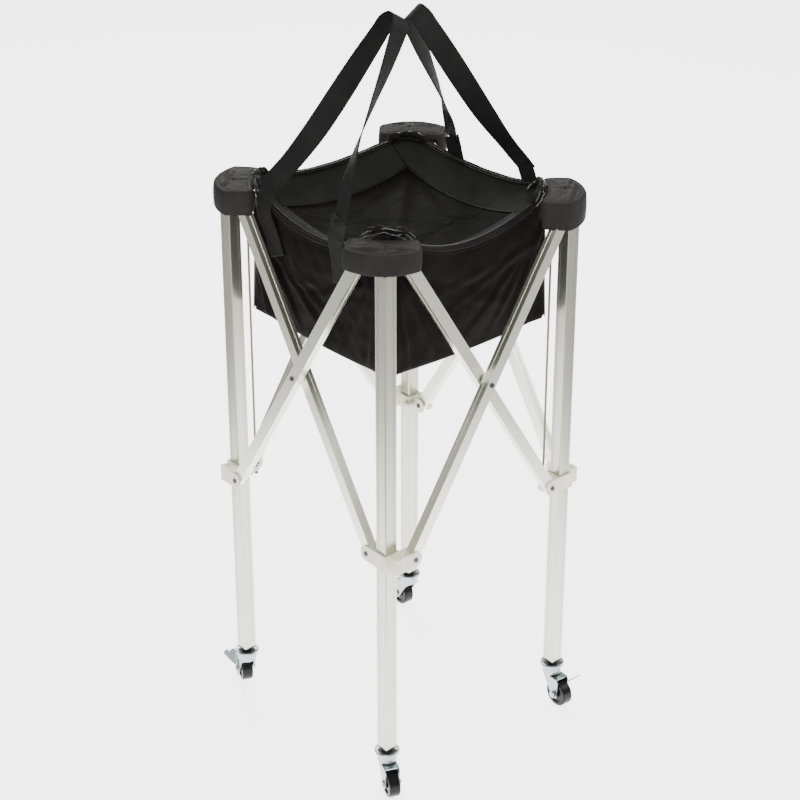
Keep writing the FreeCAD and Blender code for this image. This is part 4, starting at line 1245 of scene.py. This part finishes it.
@dataclass
class Zip:
    """Zip along the rim: a coil of teeth and a puller."""

    radius: float = 0.0021
    pitch: float = 0.0016
    inset: float = -0.0072
    lift: float = -0.0004

    def coil(self, side: Side, walls: BagWalls) -> bpy.types.Object:
        """Tube along the rim whose radius rises and falls once a tooth."""
        path = even_path(walls.rim_path(side, self.inset, self.lift, 200), self.pitch / 4)
        phase = np.arange(len(path)) * (2 * math.pi / 4)
        size = 1 + 0.22 * np.cos(phase)
        section = ring(self.radius, 8, 0.7)[None] * size[:, None, None]
        piece = swept(path, section).build(f"zip_coil_{side.key}")
        return dress(piece, Finish.ZIP)

    def tape(self, side: Side, walls: BagWalls) -> bpy.types.Object:
        """Cloth tape under the coil, from the binding to the lid."""
        path = walls.rim_path(side, self.inset, self.lift - 0.0016, 120)
        piece = swept(path, strip_section(0.0115, 0.0009, 4)).build(f"zip_tape_{side.key}")
        return dress(piece, Finish.BINDING)

    def puller(self, walls: BagWalls) -> None:
        """Slider body on the coil and its pull tab, near the front of the right side."""
        path = walls.rim_path(Side.RIGHT, self.inset, 0.0022, 200)
        seat = path[14]
        ahead = unit(path[18] - path[10])
        angle = np.linspace(-1, 1, 13)
        body_path = seat + ahead * angle[:, None] * 0.006
        swell = np.sqrt(np.clip(1 - (angle * 0.96) ** 4, 0, 1))
        section = ring(0.0042, 14, 0.55)[None] * (0.35 + 0.65 * swell[:, None, None])
        body = swept(body_path, section).build("zip_slider")
        hang = np.linspace(0, 1, 16)[:, None]
        tab_path = seat + np.hstack(
            [-0.002 - 0.016 * hang, 0.004 * hang, 0.0038 - 0.012 * hang * hang]
        )
        tab = swept(tab_path, strip_section(0.0048, 0.0014, 4)).build("zip_tab")
        for piece, finish in ((body, Finish.PIN), (tab, Finish.COIL)):
            dress(piece, finish)
            gather(piece, Side.RIGHT)

    def build(self, walls: BagWalls) -> None:
        """Coil and tape on every side, and the puller."""
        for side in Side:
            gather(self.coil(side, walls), side)
            gather(self.tape(side, walls), side)
        self.puller(walls)
        LOG.info("zip")


@dataclass
class BagFloor:
    """Floor of the bag in three strips that sag slightly."""

    height: float = 0.7826

    def build(self, lid: Lid) -> None:
        """Each strip is a grid as wide as the outline at its place along Y."""
        half = SHAPE.floor_half - 0.0006
        radius = SHAPE.floor_round
        for strip in Strip:
            key, low, high = strip.value[:3]
            rows = lid.lines(max(low, -half), min(high, half), (), 0.008)
            past = np.clip(np.abs(rows) - (half - radius), 0, radius)
            wide = half - radius + np.sqrt(radius**2 - past**2)
            share = np.linspace(-1, 1, 61)[None, :]
            x = share * wide[:, None]
            y = rows[:, None] * np.ones_like(x)
            rise = np.abs(wave(x, y, 91, 0.1)) * 0.0022 * (1 - share**8)
            points = np.stack([x, y, self.height + rise], axis=-1)
            piece = Surface(points, mapped=points[..., :2]).build(f"bag_floor_{key}")
            thicken(piece, 0.0012)
            dress(piece, Finish.BAG)
            strip.gather(piece)
        LOG.info("floor")


@dataclass
class CornerCap:
    """Padded fabric cap over a hub: a deep plain skirt, a soft top edge and a sewn, crumpled
    top.
    """

    half_width: float = 0.0615
    front: float = 0.0262
    back: float = 0.0480
    shift: float = 0.006
    wall: float = 0.003
    inside: float = 1.0103
    edge: float = 0.0065
    seam_in: float = 0.0085
    leg: float = 0.200
    levels: dict = field(
        default_factory=lambda: {
            Corner.FRONT_LEFT: (0.9840, 1.0190),
            Corner.FRONT_RIGHT: (0.9660, 1.0138),
            Corner.REAR_RIGHT: (0.9740, 1.0135),
            Corner.REAR_LEFT: (0.9715, 1.0140),
        }
    )

    def outline(self, count: int) -> tuple[Array, Array]:
        """D outline and its outward directions: round front, short sides, chord with round ends.

        The front is the arc through both side points and the nose; the whole is resampled evenly.
        """
        bulge = (self.half_width**2 + self.front**2) / (2 * self.front)
        sweep = math.asin(self.half_width / bulge)
        angle = np.linspace(-sweep, sweep, 60)
        arc = np.stack([self.front - bulge + bulge * np.cos(angle), bulge * np.sin(angle)], axis=1)
        turn = 0.012
        quarter_turn = np.linspace(0, math.pi / 2, 8)[1:]
        x0 = -self.back
        y0 = self.half_width
        right = np.stack(
            [
                x0 + turn - turn * np.sin(quarter_turn), y0 - turn + turn * np.cos(quarter_turn)
            ], axis=1
        )
        left = (right * (1, -1))[::-1]
        chord = np.stack([np.full(24, x0), np.linspace(y0 - turn, turn - y0, 24)], axis=1)[1:-1]
        line = np.concatenate([arc, [[x0 + turn, y0]], right, chord, left, [[x0 + turn, -y0]]])
        closed = np.concatenate([line, line[:1]])
        reach = np.concatenate([[0.0], np.cumsum(np.linalg.norm(np.diff(closed, axis=0), axis=1))])
        at = np.linspace(0, reach[-1], count, endpoint=False)
        points = np.stack([np.interp(at, reach, closed[:, part]) for part in range(2)], axis=1)
        behind = np.clip(-points[:, 0] / self.back, 0, 1)
        points[:, 1] *= 1 - 0.06 * behind
        middle = np.clip(1 - (points[:, 1] / 0.045) ** 2, 0, 1)
        points[:, 0] += 0.007 * middle * (points[:, 0] < 0.003 - self.back)
        for _ in range(6):
            points = (np.roll(points, 1, 0) + points * 2 + np.roll(points, -1, 0)) / 4
        points[:, 1] -= self.shift
        ahead = np.roll(points, -1, 0) - np.roll(points, 1, 0)
        away = unit(np.stack([ahead[:, 1], -ahead[:, 0]], axis=1))
        return points, away

    def crumple(self, x: Array, y: Array, seed: int) -> Array:
        """Relief of the top: two curved folds that meet a middle seam, and soft lumps."""
        bow = 0.010 - 0.004 * (y / self.half_width) ** 2
        left = np.clip(-y / 0.02, 0, 1) * np.clip((self.half_width - 0.006 + y) / 0.02, 0, 1)
        right = np.clip(y / 0.02, 0, 1) * np.clip((self.half_width - 0.004 - y) / 0.02, 0, 1)
        fold = -0.0034 * np.exp(-(((x - bow + 0.002) / 0.0028) ** 2)) * left
        fold += 0.0026 * np.exp(-(((x - bow + 0.009) / 0.005) ** 2)) * left
        fold += -0.0024 * np.exp(-(((x - bow + 0.010 - 0.1 * y) / 0.003) ** 2)) * right
        fold += 0.0020 * np.exp(-(((x - bow + 0.003 - 0.1 * y) / 0.005) ** 2)) * right
        seam = -0.0011 * np.exp(-((y / 0.0018) ** 2))
        return fold + seam + 0.0010 * wave(x, y, seed, 0.026) + 0.0008 * wave(x, y, seed + 9, 0.012)

    def surface(self, corner: Corner, count: int = 168) -> Surface:
        """Rings up the outside, round the top edge, over the crown, and back down the hollow.

        Each ring is the outline drawn in by an inset at a height; towards the middle the
        rings shrink to a point instead, on a dome whose height falls with the square of
        the distance from the middle.
        """
        seed = 3 + corner.value
        bottom, top = self.levels[corner]
        points, away = self.outline(count)
        lift = np.clip((self.half_width - 0.007 - np.abs(points[:, 1] + self.shift)) / 0.012, 0, 1)
        lift = lift * (points[:, 0] < -0.025)
        for _ in range(5):
            lift = (np.roll(lift, 1) + lift * 2 + np.roll(lift, -1)) / 4
        lift = lift * lift * (3 - 2 * lift)
        low = bottom + (self.inside - 0.005 - bottom) * lift
        place = np.linspace(0, 1, count, endpoint=False)
        pucker = np.sin(place * 2 * math.pi * 29 + seed) * 0.4 + np.sin(
            place * 2 * math.pi * 16 + 2 * seed
        ) * 0.6
        chance = np.random.default_rng(seed)
        lumps = sum(
            np.sin(
                place * 2 * math.pi * number + chance.uniform(0, 6)
            ) * chance.uniform(0.4, 1) for number in (3, 5, 8)
        ) / 3
        rings = []

        def level(inset: Array, height: Array) -> None:
            """Add one ring drawn in by an inset."""
            flat = points - away * np.broadcast_to(inset, (count,))[:, None]
            rings.append(np.column_stack([flat, np.broadcast_to(height, (count,))]))

        level(self.wall, low + 0.004)
        level(self.wall - 0.0004, low + 0.0008)
        level(self.wall * 0.5, low)
        level(0.0004, low + 0.0009)
        shoulder = top - self.edge
        tall = shoulder - low
        for share in (0.1, 0.15, 0.2, 0.34, 0.5, 0.66, 0.82, 0.94):
            stitch = 0.0005 if share == 0.15 else 0.0
            belly = -0.0011 * math.sin(share * math.pi) - 0.0009 * lumps * math.sin(
                share * math.pi * 0.8
            )
            level(belly + stitch + 0.0003 * pucker * share, low + tall * share)
        for angle in (0.25, 0.55, 0.85, 1.15, 1.4):
            inset = self.edge * (1 - math.cos(angle)) + 0.0004 * pucker * math.sin(angle)
            level(inset, shoulder + self.edge * math.sin(angle) + 0.0003 * lumps)
        level(self.seam_in - 0.0011 + 0.0003 * pucker, top - 0.0001)
        level(self.seam_in, top - 0.0012)
        level(self.seam_in + 0.0012, top - 0.0001 + 0.0003 * pucker)
        middle = np.array([-0.008, 0.0])
        rim = points - away * (self.seam_in + 0.0012)
        for share in (0.93, 0.85, 0.76, 0.67, 0.58, 0.49, 0.4, 0.31, 0.22, 0.13, 0.05):
            flat = middle + (rim - middle) * share
            crown = (0.0026 if corner is Corner.FRONT_LEFT else 0.0016) * (1 - share**2)
            relief = self.crumple(flat[:, 0], flat[:, 1], seed) * min(1.0, (1 - share) * 6)
            rings.append(
                np.column_stack([flat, np.maximum(top + crown + relief, self.inside + 0.0012)])
            )
        under = []
        for share in (0.05, 0.5, 1.0):
            flat = middle + (points - away * self.wall - middle) * share
            under.append(np.column_stack([flat, np.full(count, self.inside)]))
        grid = np.stack(rings + under)
        return Surface(grid, wrap_columns=True, wrap_rows=True)

    def place(self, points: Array, corner: Corner) -> Array:
        """From the cap's own frame, nose towards +X, to its corner of the frame."""
        turn = math.radians(-135)
        cosine, sine = math.cos(turn), math.sin(turn)
        x, y = points[..., 0], points[..., 1]
        local = np.stack(
            [x * cosine - y * sine - self.leg, x * sine + y * cosine - self.leg, points[..., 2]],
            axis=-1
        )
        return quarter(local, corner.value)

    def hem_stitches(self, corner: Corner) -> bpy.types.Object:
        """Stitches along the hem of the skirt's front."""
        points, away = self.outline(168)
        hidden = np.flatnonzero(points[:, 0] <= -self.back * 0.4)
        order = np.roll(np.arange(168), -int(hidden[-1]) - 1)
        run = order[: 168 - len(hidden)]
        line = np.column_stack(
            [points[run] + away[run] * 0.0006, np.full(len(run), self.levels[corner][0] + 0.0052)]
        )
        out = np.column_stack([away[run], np.zeros(len(run))])
        return stitch_row(
            f"cap_hem_stitches_{corner.key}",
            self.place(line, corner),
            self.place(out, corner) - self.place(out * 0, corner),
        )

    def build(self) -> None:
        """All four caps with their stitches."""
        for corner in Corner:
            surface = self.surface(corner)
            surface.points = self.place(surface.points, corner)
            piece = fix_normals(surface.build(f"cap_{corner.key}"))
            dress(soften(piece), Finish.CAP)
            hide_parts(f"corner_cap_{corner.key}")
            for part in (piece, self.hem_stitches(corner)):
                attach(part, f"frame_{corner.key}")
                tuck(part, corner)
            LOG.info("cap %s", corner.key)


def tuck(piece: bpy.types.Object, corner: Corner) -> None:
    """Give a corner's soft piece a mesh of its own; the direction across the diagonal and the seat
    are worked out but not used.
    """
    across = quarter(np.array([[1.0, -1.0, 0.0]]), corner.value)[0]
    seat = quarter(np.array([[-0.2, -0.2, 1.0]]), corner.value)[0]
    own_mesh(piece)


@dataclass
class CornerGather:
    """Bunched hem and zip end behind a cap, where the rim is tied to the hub."""

    half_turn: float = 0.185
    rows: int = 120
    roll: float = 0.0064
    bead: float = 0.0016
    drop: float = 0.0150

    def arc(self, corner: Corner, grow: float, lift: float) -> Array:
        """Low arch round the rim's corner, grown outwards and lifted."""
        turn = np.linspace(-1, 1, self.rows)
        reach = SHAPE.reach(turn * self.half_turn + math.pi / 4, 1.02, grow)
        angle = turn * self.half_turn + math.pi / 4
        flat = np.stack([-reach * np.cos(angle), -reach * np.sin(angle), angle * 0], axis=1)
        spot = quarter(flat, corner.value)
        tie = quarter(np.array([[-SHAPE.seam, -SHAPE.seam, 0.0]]), corner.value)[0]
        height = SHAPE.peak_at(tie[0], tie[1]) + lift - self.drop * turn**2
        return spot + np.stack([height * 0, height * 0, height], axis=1)

    def hem(self, corner: Corner) -> bpy.types.Object:
        """Padded roll whose girth swells and pinches along it, thin at both ends."""
        path = self.arc(corner, -0.004, 0.0032)
        turn = np.linspace(-1, 1, self.rows)
        chance = np.random.default_rng(40 + corner.value)
        swell = 1 + sum(
            0.13 * np.sin(turn * number + chance.uniform(0, 6)) for number in (5.0, 9.0, 16.0)
        )
        girth = self.roll * swell * np.sqrt(np.clip(1 - turn**6, 0.02, 1))
        angle = np.linspace(0, 2 * math.pi, 20, endpoint=False)
        pleat = 1 + 0.07 * np.sin(angle[None] * 4 + turn[:, None] * 14)
        section = np.stack(
            [np.cos(angle)[None] * pleat * 0.8, np.sin(angle)[None] * pleat * 1.05], axis=-1
        )
        piece = swept(path, section * girth[:, None, None]).build(f"corner_roll_{corner.key}")
        return dress(fix_normals(piece), Finish.BINDING)

    def beads(self, corner: Corner, row: int) -> bpy.types.Object:
        """Wavy zip coil along the roll's outer side; its radius rises and falls once a tooth.

        The upper row lies on the shoulder of the roll, the lower one against the cap.
        """
        grow, lift, wander = ((0.0015, 0.0064, 0.0009), (0.0042, 0.0004, 0.0022))[row]
        path = self.arc(corner, grow, lift)
        turn = np.linspace(-1, 1, self.rows)
        phase = np.random.default_rng(60 + corner.value + 10 * row).uniform(0, 6)
        radial = unit(path * (1, 1, 0))
        path = path - radial * (wander * np.cos(turn * 6.5 + phase))[:, None]
        path[:, 2] += wander * 0.8 * np.sin(turn * 8.5 + phase) - 0.003 * turn**4
        path = path - radial * (
            0.0026 * np.clip(np.sin(turn * (5.5 + row) + 2 * phase), 0, 1)
        )[:, None]
        fine = even_path(smooth_path(path, 400), 0.0004)
        tooth = 1 + 0.25 * np.cos(np.arange(len(fine)) * math.pi / 2)
        section = ring(self.bead, 8, 0.8)[None] * tooth[:, None, None]
        piece = swept(fine, section).build(f"corner_coil_{corner.key}_{row}")
        return dress(fix_normals(piece), Finish.COIL)

    def build(self) -> None:
        """Roll and coils at every corner."""
        for corner in Corner:
            for piece in (self.hem(corner), self.beads(corner, 0), self.beads(corner, 1)):
                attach(piece, f"frame_{corner.key}")
                tuck(piece, corner)
        LOG.info("corner gathers")


@dataclass
class Handles:
    """Two webbing loops and the tails that are sewn to the bag's left and right walls."""

    width: float = 0.038
    thick: float = 0.002
    spread: float = 0.091
    shift: float = 0.011
    waist: float = 0.042
    turn_height: float = 1.0303
    peak_height: float = 1.318
    peak_round: float = 0.017
    peak_shift: float = 0.016
    meet_gap: float = 0.0006
    rise_shares: tuple = (
        (0, 0, 0, 0),
        (0.15, 0.4, 0, 0.16),
        (0.35, 0.8, 0, 0.42),
        (0.55, 1, 0.1, 0.6),
        (0.75, 1, 0.5, 0.8),
        (0.9, 1, 0.85, 0.95),
        (0.96, 1, 1, 1),
    )

    def path(self, peak_shift: float) -> tuple[Array, Array]:
        """Middle of the right loop with its twist, and the direction its face looks.

        The rows are x, y, z and the twist in quarter turns.
        """
        start = SHAPE.rim_half + self.thick / 2
        half = self.width / 2
        rise = self.peak_height - self.turn_height
        lean = math.atan2(start - half, rise)
        peak_x = half * math.cos(lean) + self.meet_gap / 2
        drift = np.array([peak_x - start, 0.0, rise - half * math.sin(lean)])
        normal = unit(np.array([drift[2], 0.0, -drift[0]]))
        above = []
        for up, narrowed, closed, turned in self.rise_shares:
            beside = self.spread + (self.waist - self.spread) * narrowed + (
                self.peak_round - self.waist
            ) * closed
            above.append((up, beside, self.shift * (1 - up) + peak_shift * up, turned))
        above.append((0.99, self.peak_round / 2, peak_shift, 1))
        rows = []
        for way in (1, -1):
            run = []
            for up, beside, off, turned in above:
                point = np.array([start, way * beside - off, self.turn_height]) + drift * up
                run.append([*point, -turned])
            rows += run if way > 0 else run[::-1]
            if way > 0:
                rows.append([*(np.array([start, -peak_shift, self.turn_height]) + drift), -1])
        return np.array(rows, float), normal

    def loop(self, side: Side) -> bpy.types.Object:
        """Webbing loop: its section turns edge up towards the peak, on a smooth path."""
        sign = 1 if side is Side.RIGHT else -1
        control, normal = self.path(sign * self.peak_shift)
        fine = smooth_path(control, 260)
        path, turned = fine[:, :3], fine[:, 3]
        along = unit(np.gradient(path, axis=0))
        past = np.clip(1 - np.arange(260) / 14, 0, 1)[:, None]
        path = path + along * 0.009 * (past[::-1] - past)
        share = np.clip(np.minimum(np.arange(260), np.arange(260)[::-1]) / 24, 0, 1)[:, None]
        share = share * share * (3 - 2 * share)
        face = unit(np.array([[1.0, 0, 0]]) * (1 - share) + normal[None] * share)
        flat = unit(np.cross(face, along))
        out = np.cross(along, flat)
        angle = (turned * math.pi / 2)[:, None]
        across = flat * np.cos(angle) + out * np.sin(angle)
        through = np.cross(along, across)
        section = strip_section(self.width, self.thick)
        waver = 0.0009 * np.sin(np.linspace(0, 19, 260)) * share[:, 0]
        points = (
            path[:, None]
            + through[:, None] * waver[:, None, None]
            + section[None, :, :1] * across[:, None]
            + section[None, :, 1:] * through[:, None]
        )
        points = quarter(points, 0 if sign > 0 else 2)
        piece = Surface(points, wrap_columns=True, cap_ends=True, flip=True)
        piece.mapped = self.webbing_map(piece, section)
        made = piece.build(f"handle_loop_{side.key}")
        fix_normals(made)
        return dress(made, Finish.WEBBING)

    def webbing_map(self, surface: Surface, section: Array) -> Array:
        """Map of a strap: across from its first edge, along from its start."""
        along = surface.lengths()[:, 0, 1]
        across = np.concatenate([section[:, 0], section[:1, 0]]) + self.width / 2
        return np.stack(np.meshgrid(across, along), axis=-1)

    def tail_path(self, way: int, count: int) -> Array:
        """Middle of one sewn end of the right loop: slanting to the rim, then down the wall.

        The rows of the table are the drop from the turning line and the move along the wall.
        """
        outer = (
            (0, 0),
            (0.02, 0.0105),
            (0.040, 0.0165),
            (0.056, 0.0155),
            (0.085, 0.001),
            (0.122, -0.014)
        )
        inner = (
            (0, 0), (0.02, 0.0085), (0.040, 0.0135), (0.056, 0.0115), (0.085, 0.007), (0.118, 0.006)
        )
        table = np.array(outer if way < 0 else inner)
        fine = smooth_path(table, count)
        height = SHAPE.corner - fine[:, 0]
        along = way * self.spread - self.shift - fine[:, 1]
        rim = SHAPE.sag_at(along, np.full(count, SHAPE.rim_half), np.full(count, SHAPE.peak))
        over = np.clip((rim + 0.006 - height) / 0.02, 0, 1)
        x = SHAPE.half(height) + self.thick / 2 + 0.0006 + 0.0022 * over * over * (3 - 2 * over)
        return np.stack([x, along, height], axis=1)

    def tails(self, side: Side) -> None:
        """Two sewn ends of a loop, on the wall's face, each with a stitched box and cross."""
        turns = 0 if side is Side.RIGHT else 2
        for way in (-1, 1):
            path = self.tail_path(way, 60)
            section = strip_section(self.width, self.thick)
            surface = swept(path, section, (1, 0, 0))
            surface.points = quarter(surface.points, turns)
            surface.mapped = self.webbing_map(surface, section)
            near = (way < 0) == (side is Side.RIGHT)
            tail = fix_normals(
                surface.build(f"handle_tail_{side.key}_{'front' if near else 'rear'}")
            )
            gather(dress(tail, Finish.WEBBING), side)
            _, side_way, lift = path_frames(path, (1, 0, 0))
            half, first, last = 0.0145, 40, 57
            box = [
                (first, -half),
                (first, half),
                (last, half),
                (last, -half),
                (first, -half),
                (last, half)
            ]
            for number, line in enumerate((box, [(first, half), (last, -half)])):
                spots = np.array(
                    [path[at] + side_way[at] * off + lift[at] * self.thick * 0.5 for at, off in line]
                )
                row = even_path(quarter(spots, turns), 0.001)
                out = quarter(lift[50][None], turns)[0]
                stitch = stitch_row(f"{tail.name}_stitches_{number}", row, tuple(out))
                gather(stitch, side)

    def build(self) -> None:
        """Both loops and all four tails."""
        for side in (Side.LEFT, Side.RIGHT):
            loop = self.loop(side)
            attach(loop, f"handle_{side.key}")
            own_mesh(loop)
            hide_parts(f"handle_{side.key}")
            self.tails(side)
            LOG.info("handle %s", side.key)


@dataclass
class ElasticCords:
    """Taut elastic cords beside two legs, from the hub's lug to the slider's."""

    radius: float = 0.002
    knot: float = 0.004
    lug: float = 0.0203
    leg: float = 0.200
    hub: float = 0.996
    slider: float = 0.466
    lug_half_height: float = 0.004
    gap: float = 0.0003

    def build(self) -> None:
        """Cord tube, a sliding inner run that follows the slider, and the two knots."""
        reach = self.knot + self.lug_half_height + self.gap
        for corner in (Corner.REAR_LEFT, Corner.FRONT_RIGHT):
            spot = quarter(
                np.array([[self.lug - self.leg, self.lug - self.leg, 0.0]]), corner.value
            )[0]
            high, low = self.hub + reach, self.slider - reach
            height = np.linspace(high, low, 80)
            path = spot + np.stack([height * 0, height * 0, height], axis=1)
            up = (1.0, 0.0, 0.0)
            cord = swept(path, ring(self.radius, 16), up).build(f"cord_{corner.key}")
            fix_normals(cord)
            dress(cord, Finish.CORD)
            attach(cord, f"frame_{corner.key}")
            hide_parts(f"elastic_cord_{corner.key}")
            inner = path[height < self.slider + 0.19]
            core = swept(inner, ring(self.radius * 0.93, 16), up).build(f"cord_core_{corner.key}")
            fix_normals(core)
            dress(core, Finish.CORD)
            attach(core, f"slider_{corner.key}")
            for name, at, body in (
                ("top", high, f"frame_{corner.key}"),
                ("low", low, f"slider_{corner.key}"),
            ):
                knot = self.tied(f"cord_knot_{name}_{corner.key}", spot + np.array([0, 0, at]))
                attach(knot, body)
            LOG.info("cord %s", corner.key)

    def tied(self, name: str, centre: Array) -> bpy.types.Object:
        """A knot: a tube along a trefoil line drawn small."""
        turn = np.linspace(0, 2 * math.pi, 73)[:-1]
        size = self.knot * 0.3
        line = np.stack(
            [
                size * (np.sin(turn) + 1.6 * np.sin(2 * turn)),
                size * (np.cos(turn) - 1.6 * np.cos(2 * turn)),
                -size * np.sin(3 * turn),
            ],
            axis=1,
        )
        ahead = unit(np.roll(line, -1, 0) - np.roll(line, 1, 0))
        side = unit(np.cross(ahead, line - np.array([0, 0, 0.02])))
        lift = np.cross(side, ahead)
        section = ring(self.radius * 0.7, 10)
        points = line[:, None] + section[
            None, :, :1
        ] * side[:, None] + section[None, :, 1:] * lift[:, None]
        made = Surface(points + centre, wrap_columns=True, wrap_rows=True).build(name)
        fix_normals(made)
        return dress(made, Finish.CORD)


@dataclass
class CarriedNodes:
    """Materials of the frame's rigid nodes."""

    lean: float = math.radians(90 - 57.8)
    plain: dict = field(
        default_factory=lambda: {
            "leg_": Finish.LEG,
            "hub_pins_": Finish.PIN,
            "slider_pins_": Finish.PIN,
            "crossing_rivet_": Finish.PIN,
            "hub_": Finish.HUB,
            "slider_": Finish.SLIDER,
            "foot_": Finish.FOOT,
            "caster_fork_": Finish.ZINC,
            "caster_axle_": Finish.ZINC,
            "brake_lever_": Finish.ZINC,
            "caster_wheel_": Finish.TYRE,
        }
    )

    def finish_of(self, node: str) -> Optional[Union[Finish, ExtrudedAluminium]]:
        """The finish of a node by its name, or None for a soft one."""
        if node.startswith("brace_"):
            _, side, layer = node.split("_")
            turn = {"front": 0, "right": 90, "rear": 180, "left": 270}[side]
            lean = self.lean if layer == "outer" else -self.lean
            # The braces wear a lighter copy of the legs' aluminium colour: the extra lightness is a
            # painted reflection on their wide faces.
            return ExtrudedAluminium(
                f"brace_aluminium_{side}_{layer}", lean, math.radians(turn), (0.78, 0.785, 0.68)
            )
        return next((finish for key, finish in self.plain.items() if node.startswith(key)), None)

    def build(self) -> None:
        """Dress every rigid node."""
        for node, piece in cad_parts.items():
            finish = self.finish_of(node)
            if finish is None:
                continue
            material = WARDROBE.get(finish)
            if not piece.material_slots:
                piece.data.materials.append(material)
            for slot in piece.material_slots:
                slot.material = material
        LOG.info("rigid nodes")


@dataclass
class Studio:
    """Pale floor, soft light and the camera at the photograph's angle."""

    target: tuple = (0.0, 0.0, 0.7149)
    back: tuple = (-0.5869, -0.6779, 0.4427)
    distance: float = 3.5352
    lens: float = 92.83
    shift: tuple = (0.0015, -0.0667)
    glow: float = 3.4
    edge_glow: float = 0.08
    sky: float = 0.5

    def camera(self) -> None:
        """Camera at the photograph's angle and frame."""
        data = bpy.data.cameras.new("camera")
        data.lens = self.lens
        data.sensor_width = 36.0
        data.shift_x, data.shift_y = self.shift
        data.clip_end = 60.0
        camera = bpy.data.objects.new("camera", data)
        bpy.context.scene.collection.objects.link(camera)
        back = Vector(self.back).normalized()
        camera.location = Vector(self.target) + back * self.distance
        camera.rotation_mode = "QUATERNION"
        camera.rotation_quaternion = (-back).to_track_quat("-Z", "Y")
        bpy.context.scene.camera = camera

    def floor(self) -> None:
        """Large pale floor that curves up at its far edges and glows only where the camera sees
        it.
        """
        reach = np.linspace(0, 1, 60)
        profile_x = reach * 14
        profile_z = np.where(profile_x > 9, (profile_x - 9) ** 2 * 0.16, 0)
        angle = np.linspace(0, 2 * math.pi, 96, endpoint=False)
        points = np.stack(
            [
                profile_x[:, None] * np.cos(angle)[None],
                profile_x[:, None] * np.sin(angle)[None],
                profile_z[:, None] * np.ones((1, 96)) - 0.0002,
            ],
            axis=-1,
        )
        points[0, :, :2] = 0.001 * np.stack([np.cos(angle), np.sin(angle)], axis=1)
        floor = Surface(points, wrap_columns=True, flip=True).build("studio_floor")
        paint = Paint(
            "studio_floor", Roughness=0.9, Specular_IOR_Level=0.0, Emission_Strength=self.glow
        )
        x, y, _ = paint.split(paint.place())
        depth = x * 0.6546 + y * 0.756
        side = abs(x * 0.756 - y * 0.6546) - depth.most(-0.3) * 0.19
        lit = (1 - side.between(0.82, 1.5)) * depth.between(-1.3, -0.55)
        shade = (self.edge_glow,) * 3
        floor.data.materials.append(
            paint.connect(
                Base_Color=paint.blend(lit, (0.3, 0.3, 0.3), (0.9, 0.9, 0.895)),
                Emission_Color=paint.blend(lit, shade, (1.0, 1.0, 1.0)),
            )
        )

    def lights(self) -> None:
        """Dim white surroundings with a key light, a fill and a back light."""
        world = bpy.data.worlds.new("studio")
        world.use_nodes = True
        world.node_tree.nodes["Background"].inputs["Color"].default_value = (1.0, 1.0, 1.0, 1.0)
        world.node_tree.nodes["Background"].inputs["Strength"].default_value = self.sky
        bpy.context.scene.world = world
        for name, place, size, power in (
            ("key", (-2.6, -2.4, 3.6), 1.6, 125.0),
            ("fill", (3.0, -1.8, 2.4), 2.2, 90.0),
            ("back", (1.5, 3.0, 3.4), 1.6, 130.0),
        ):
            data = bpy.data.lights.new(name, "AREA")
            data.shape = "DISK"
            data.size = size
            data.energy = power
            lamp = bpy.data.objects.new(name, data)
            bpy.context.scene.collection.objects.link(lamp)
            lamp.location = place
            aim = Vector((0, 0, 0.7)) - Vector(place)
            lamp.rotation_mode = "QUATERNION"
            lamp.rotation_quaternion = aim.to_track_quat("-Z", "Y")


def main() -> None:
    """Build the studio and every piece."""
    logging.basicConfig(level=logging.INFO, format="%(message)s")
    studio = Studio()
    studio.camera()
    ElasticCords().build()
    studio.floor()
    studio.lights()
    CarriedNodes().build()
    walls = BagWalls()
    walls.build()
    lid = Lid()
    lid.build()
    BagFloor().build(lid)
    Zip().build(walls)
    CornerCap().build()
    CornerGather().build()
    Handles().build()


if __name__ == "__main__":
    main()
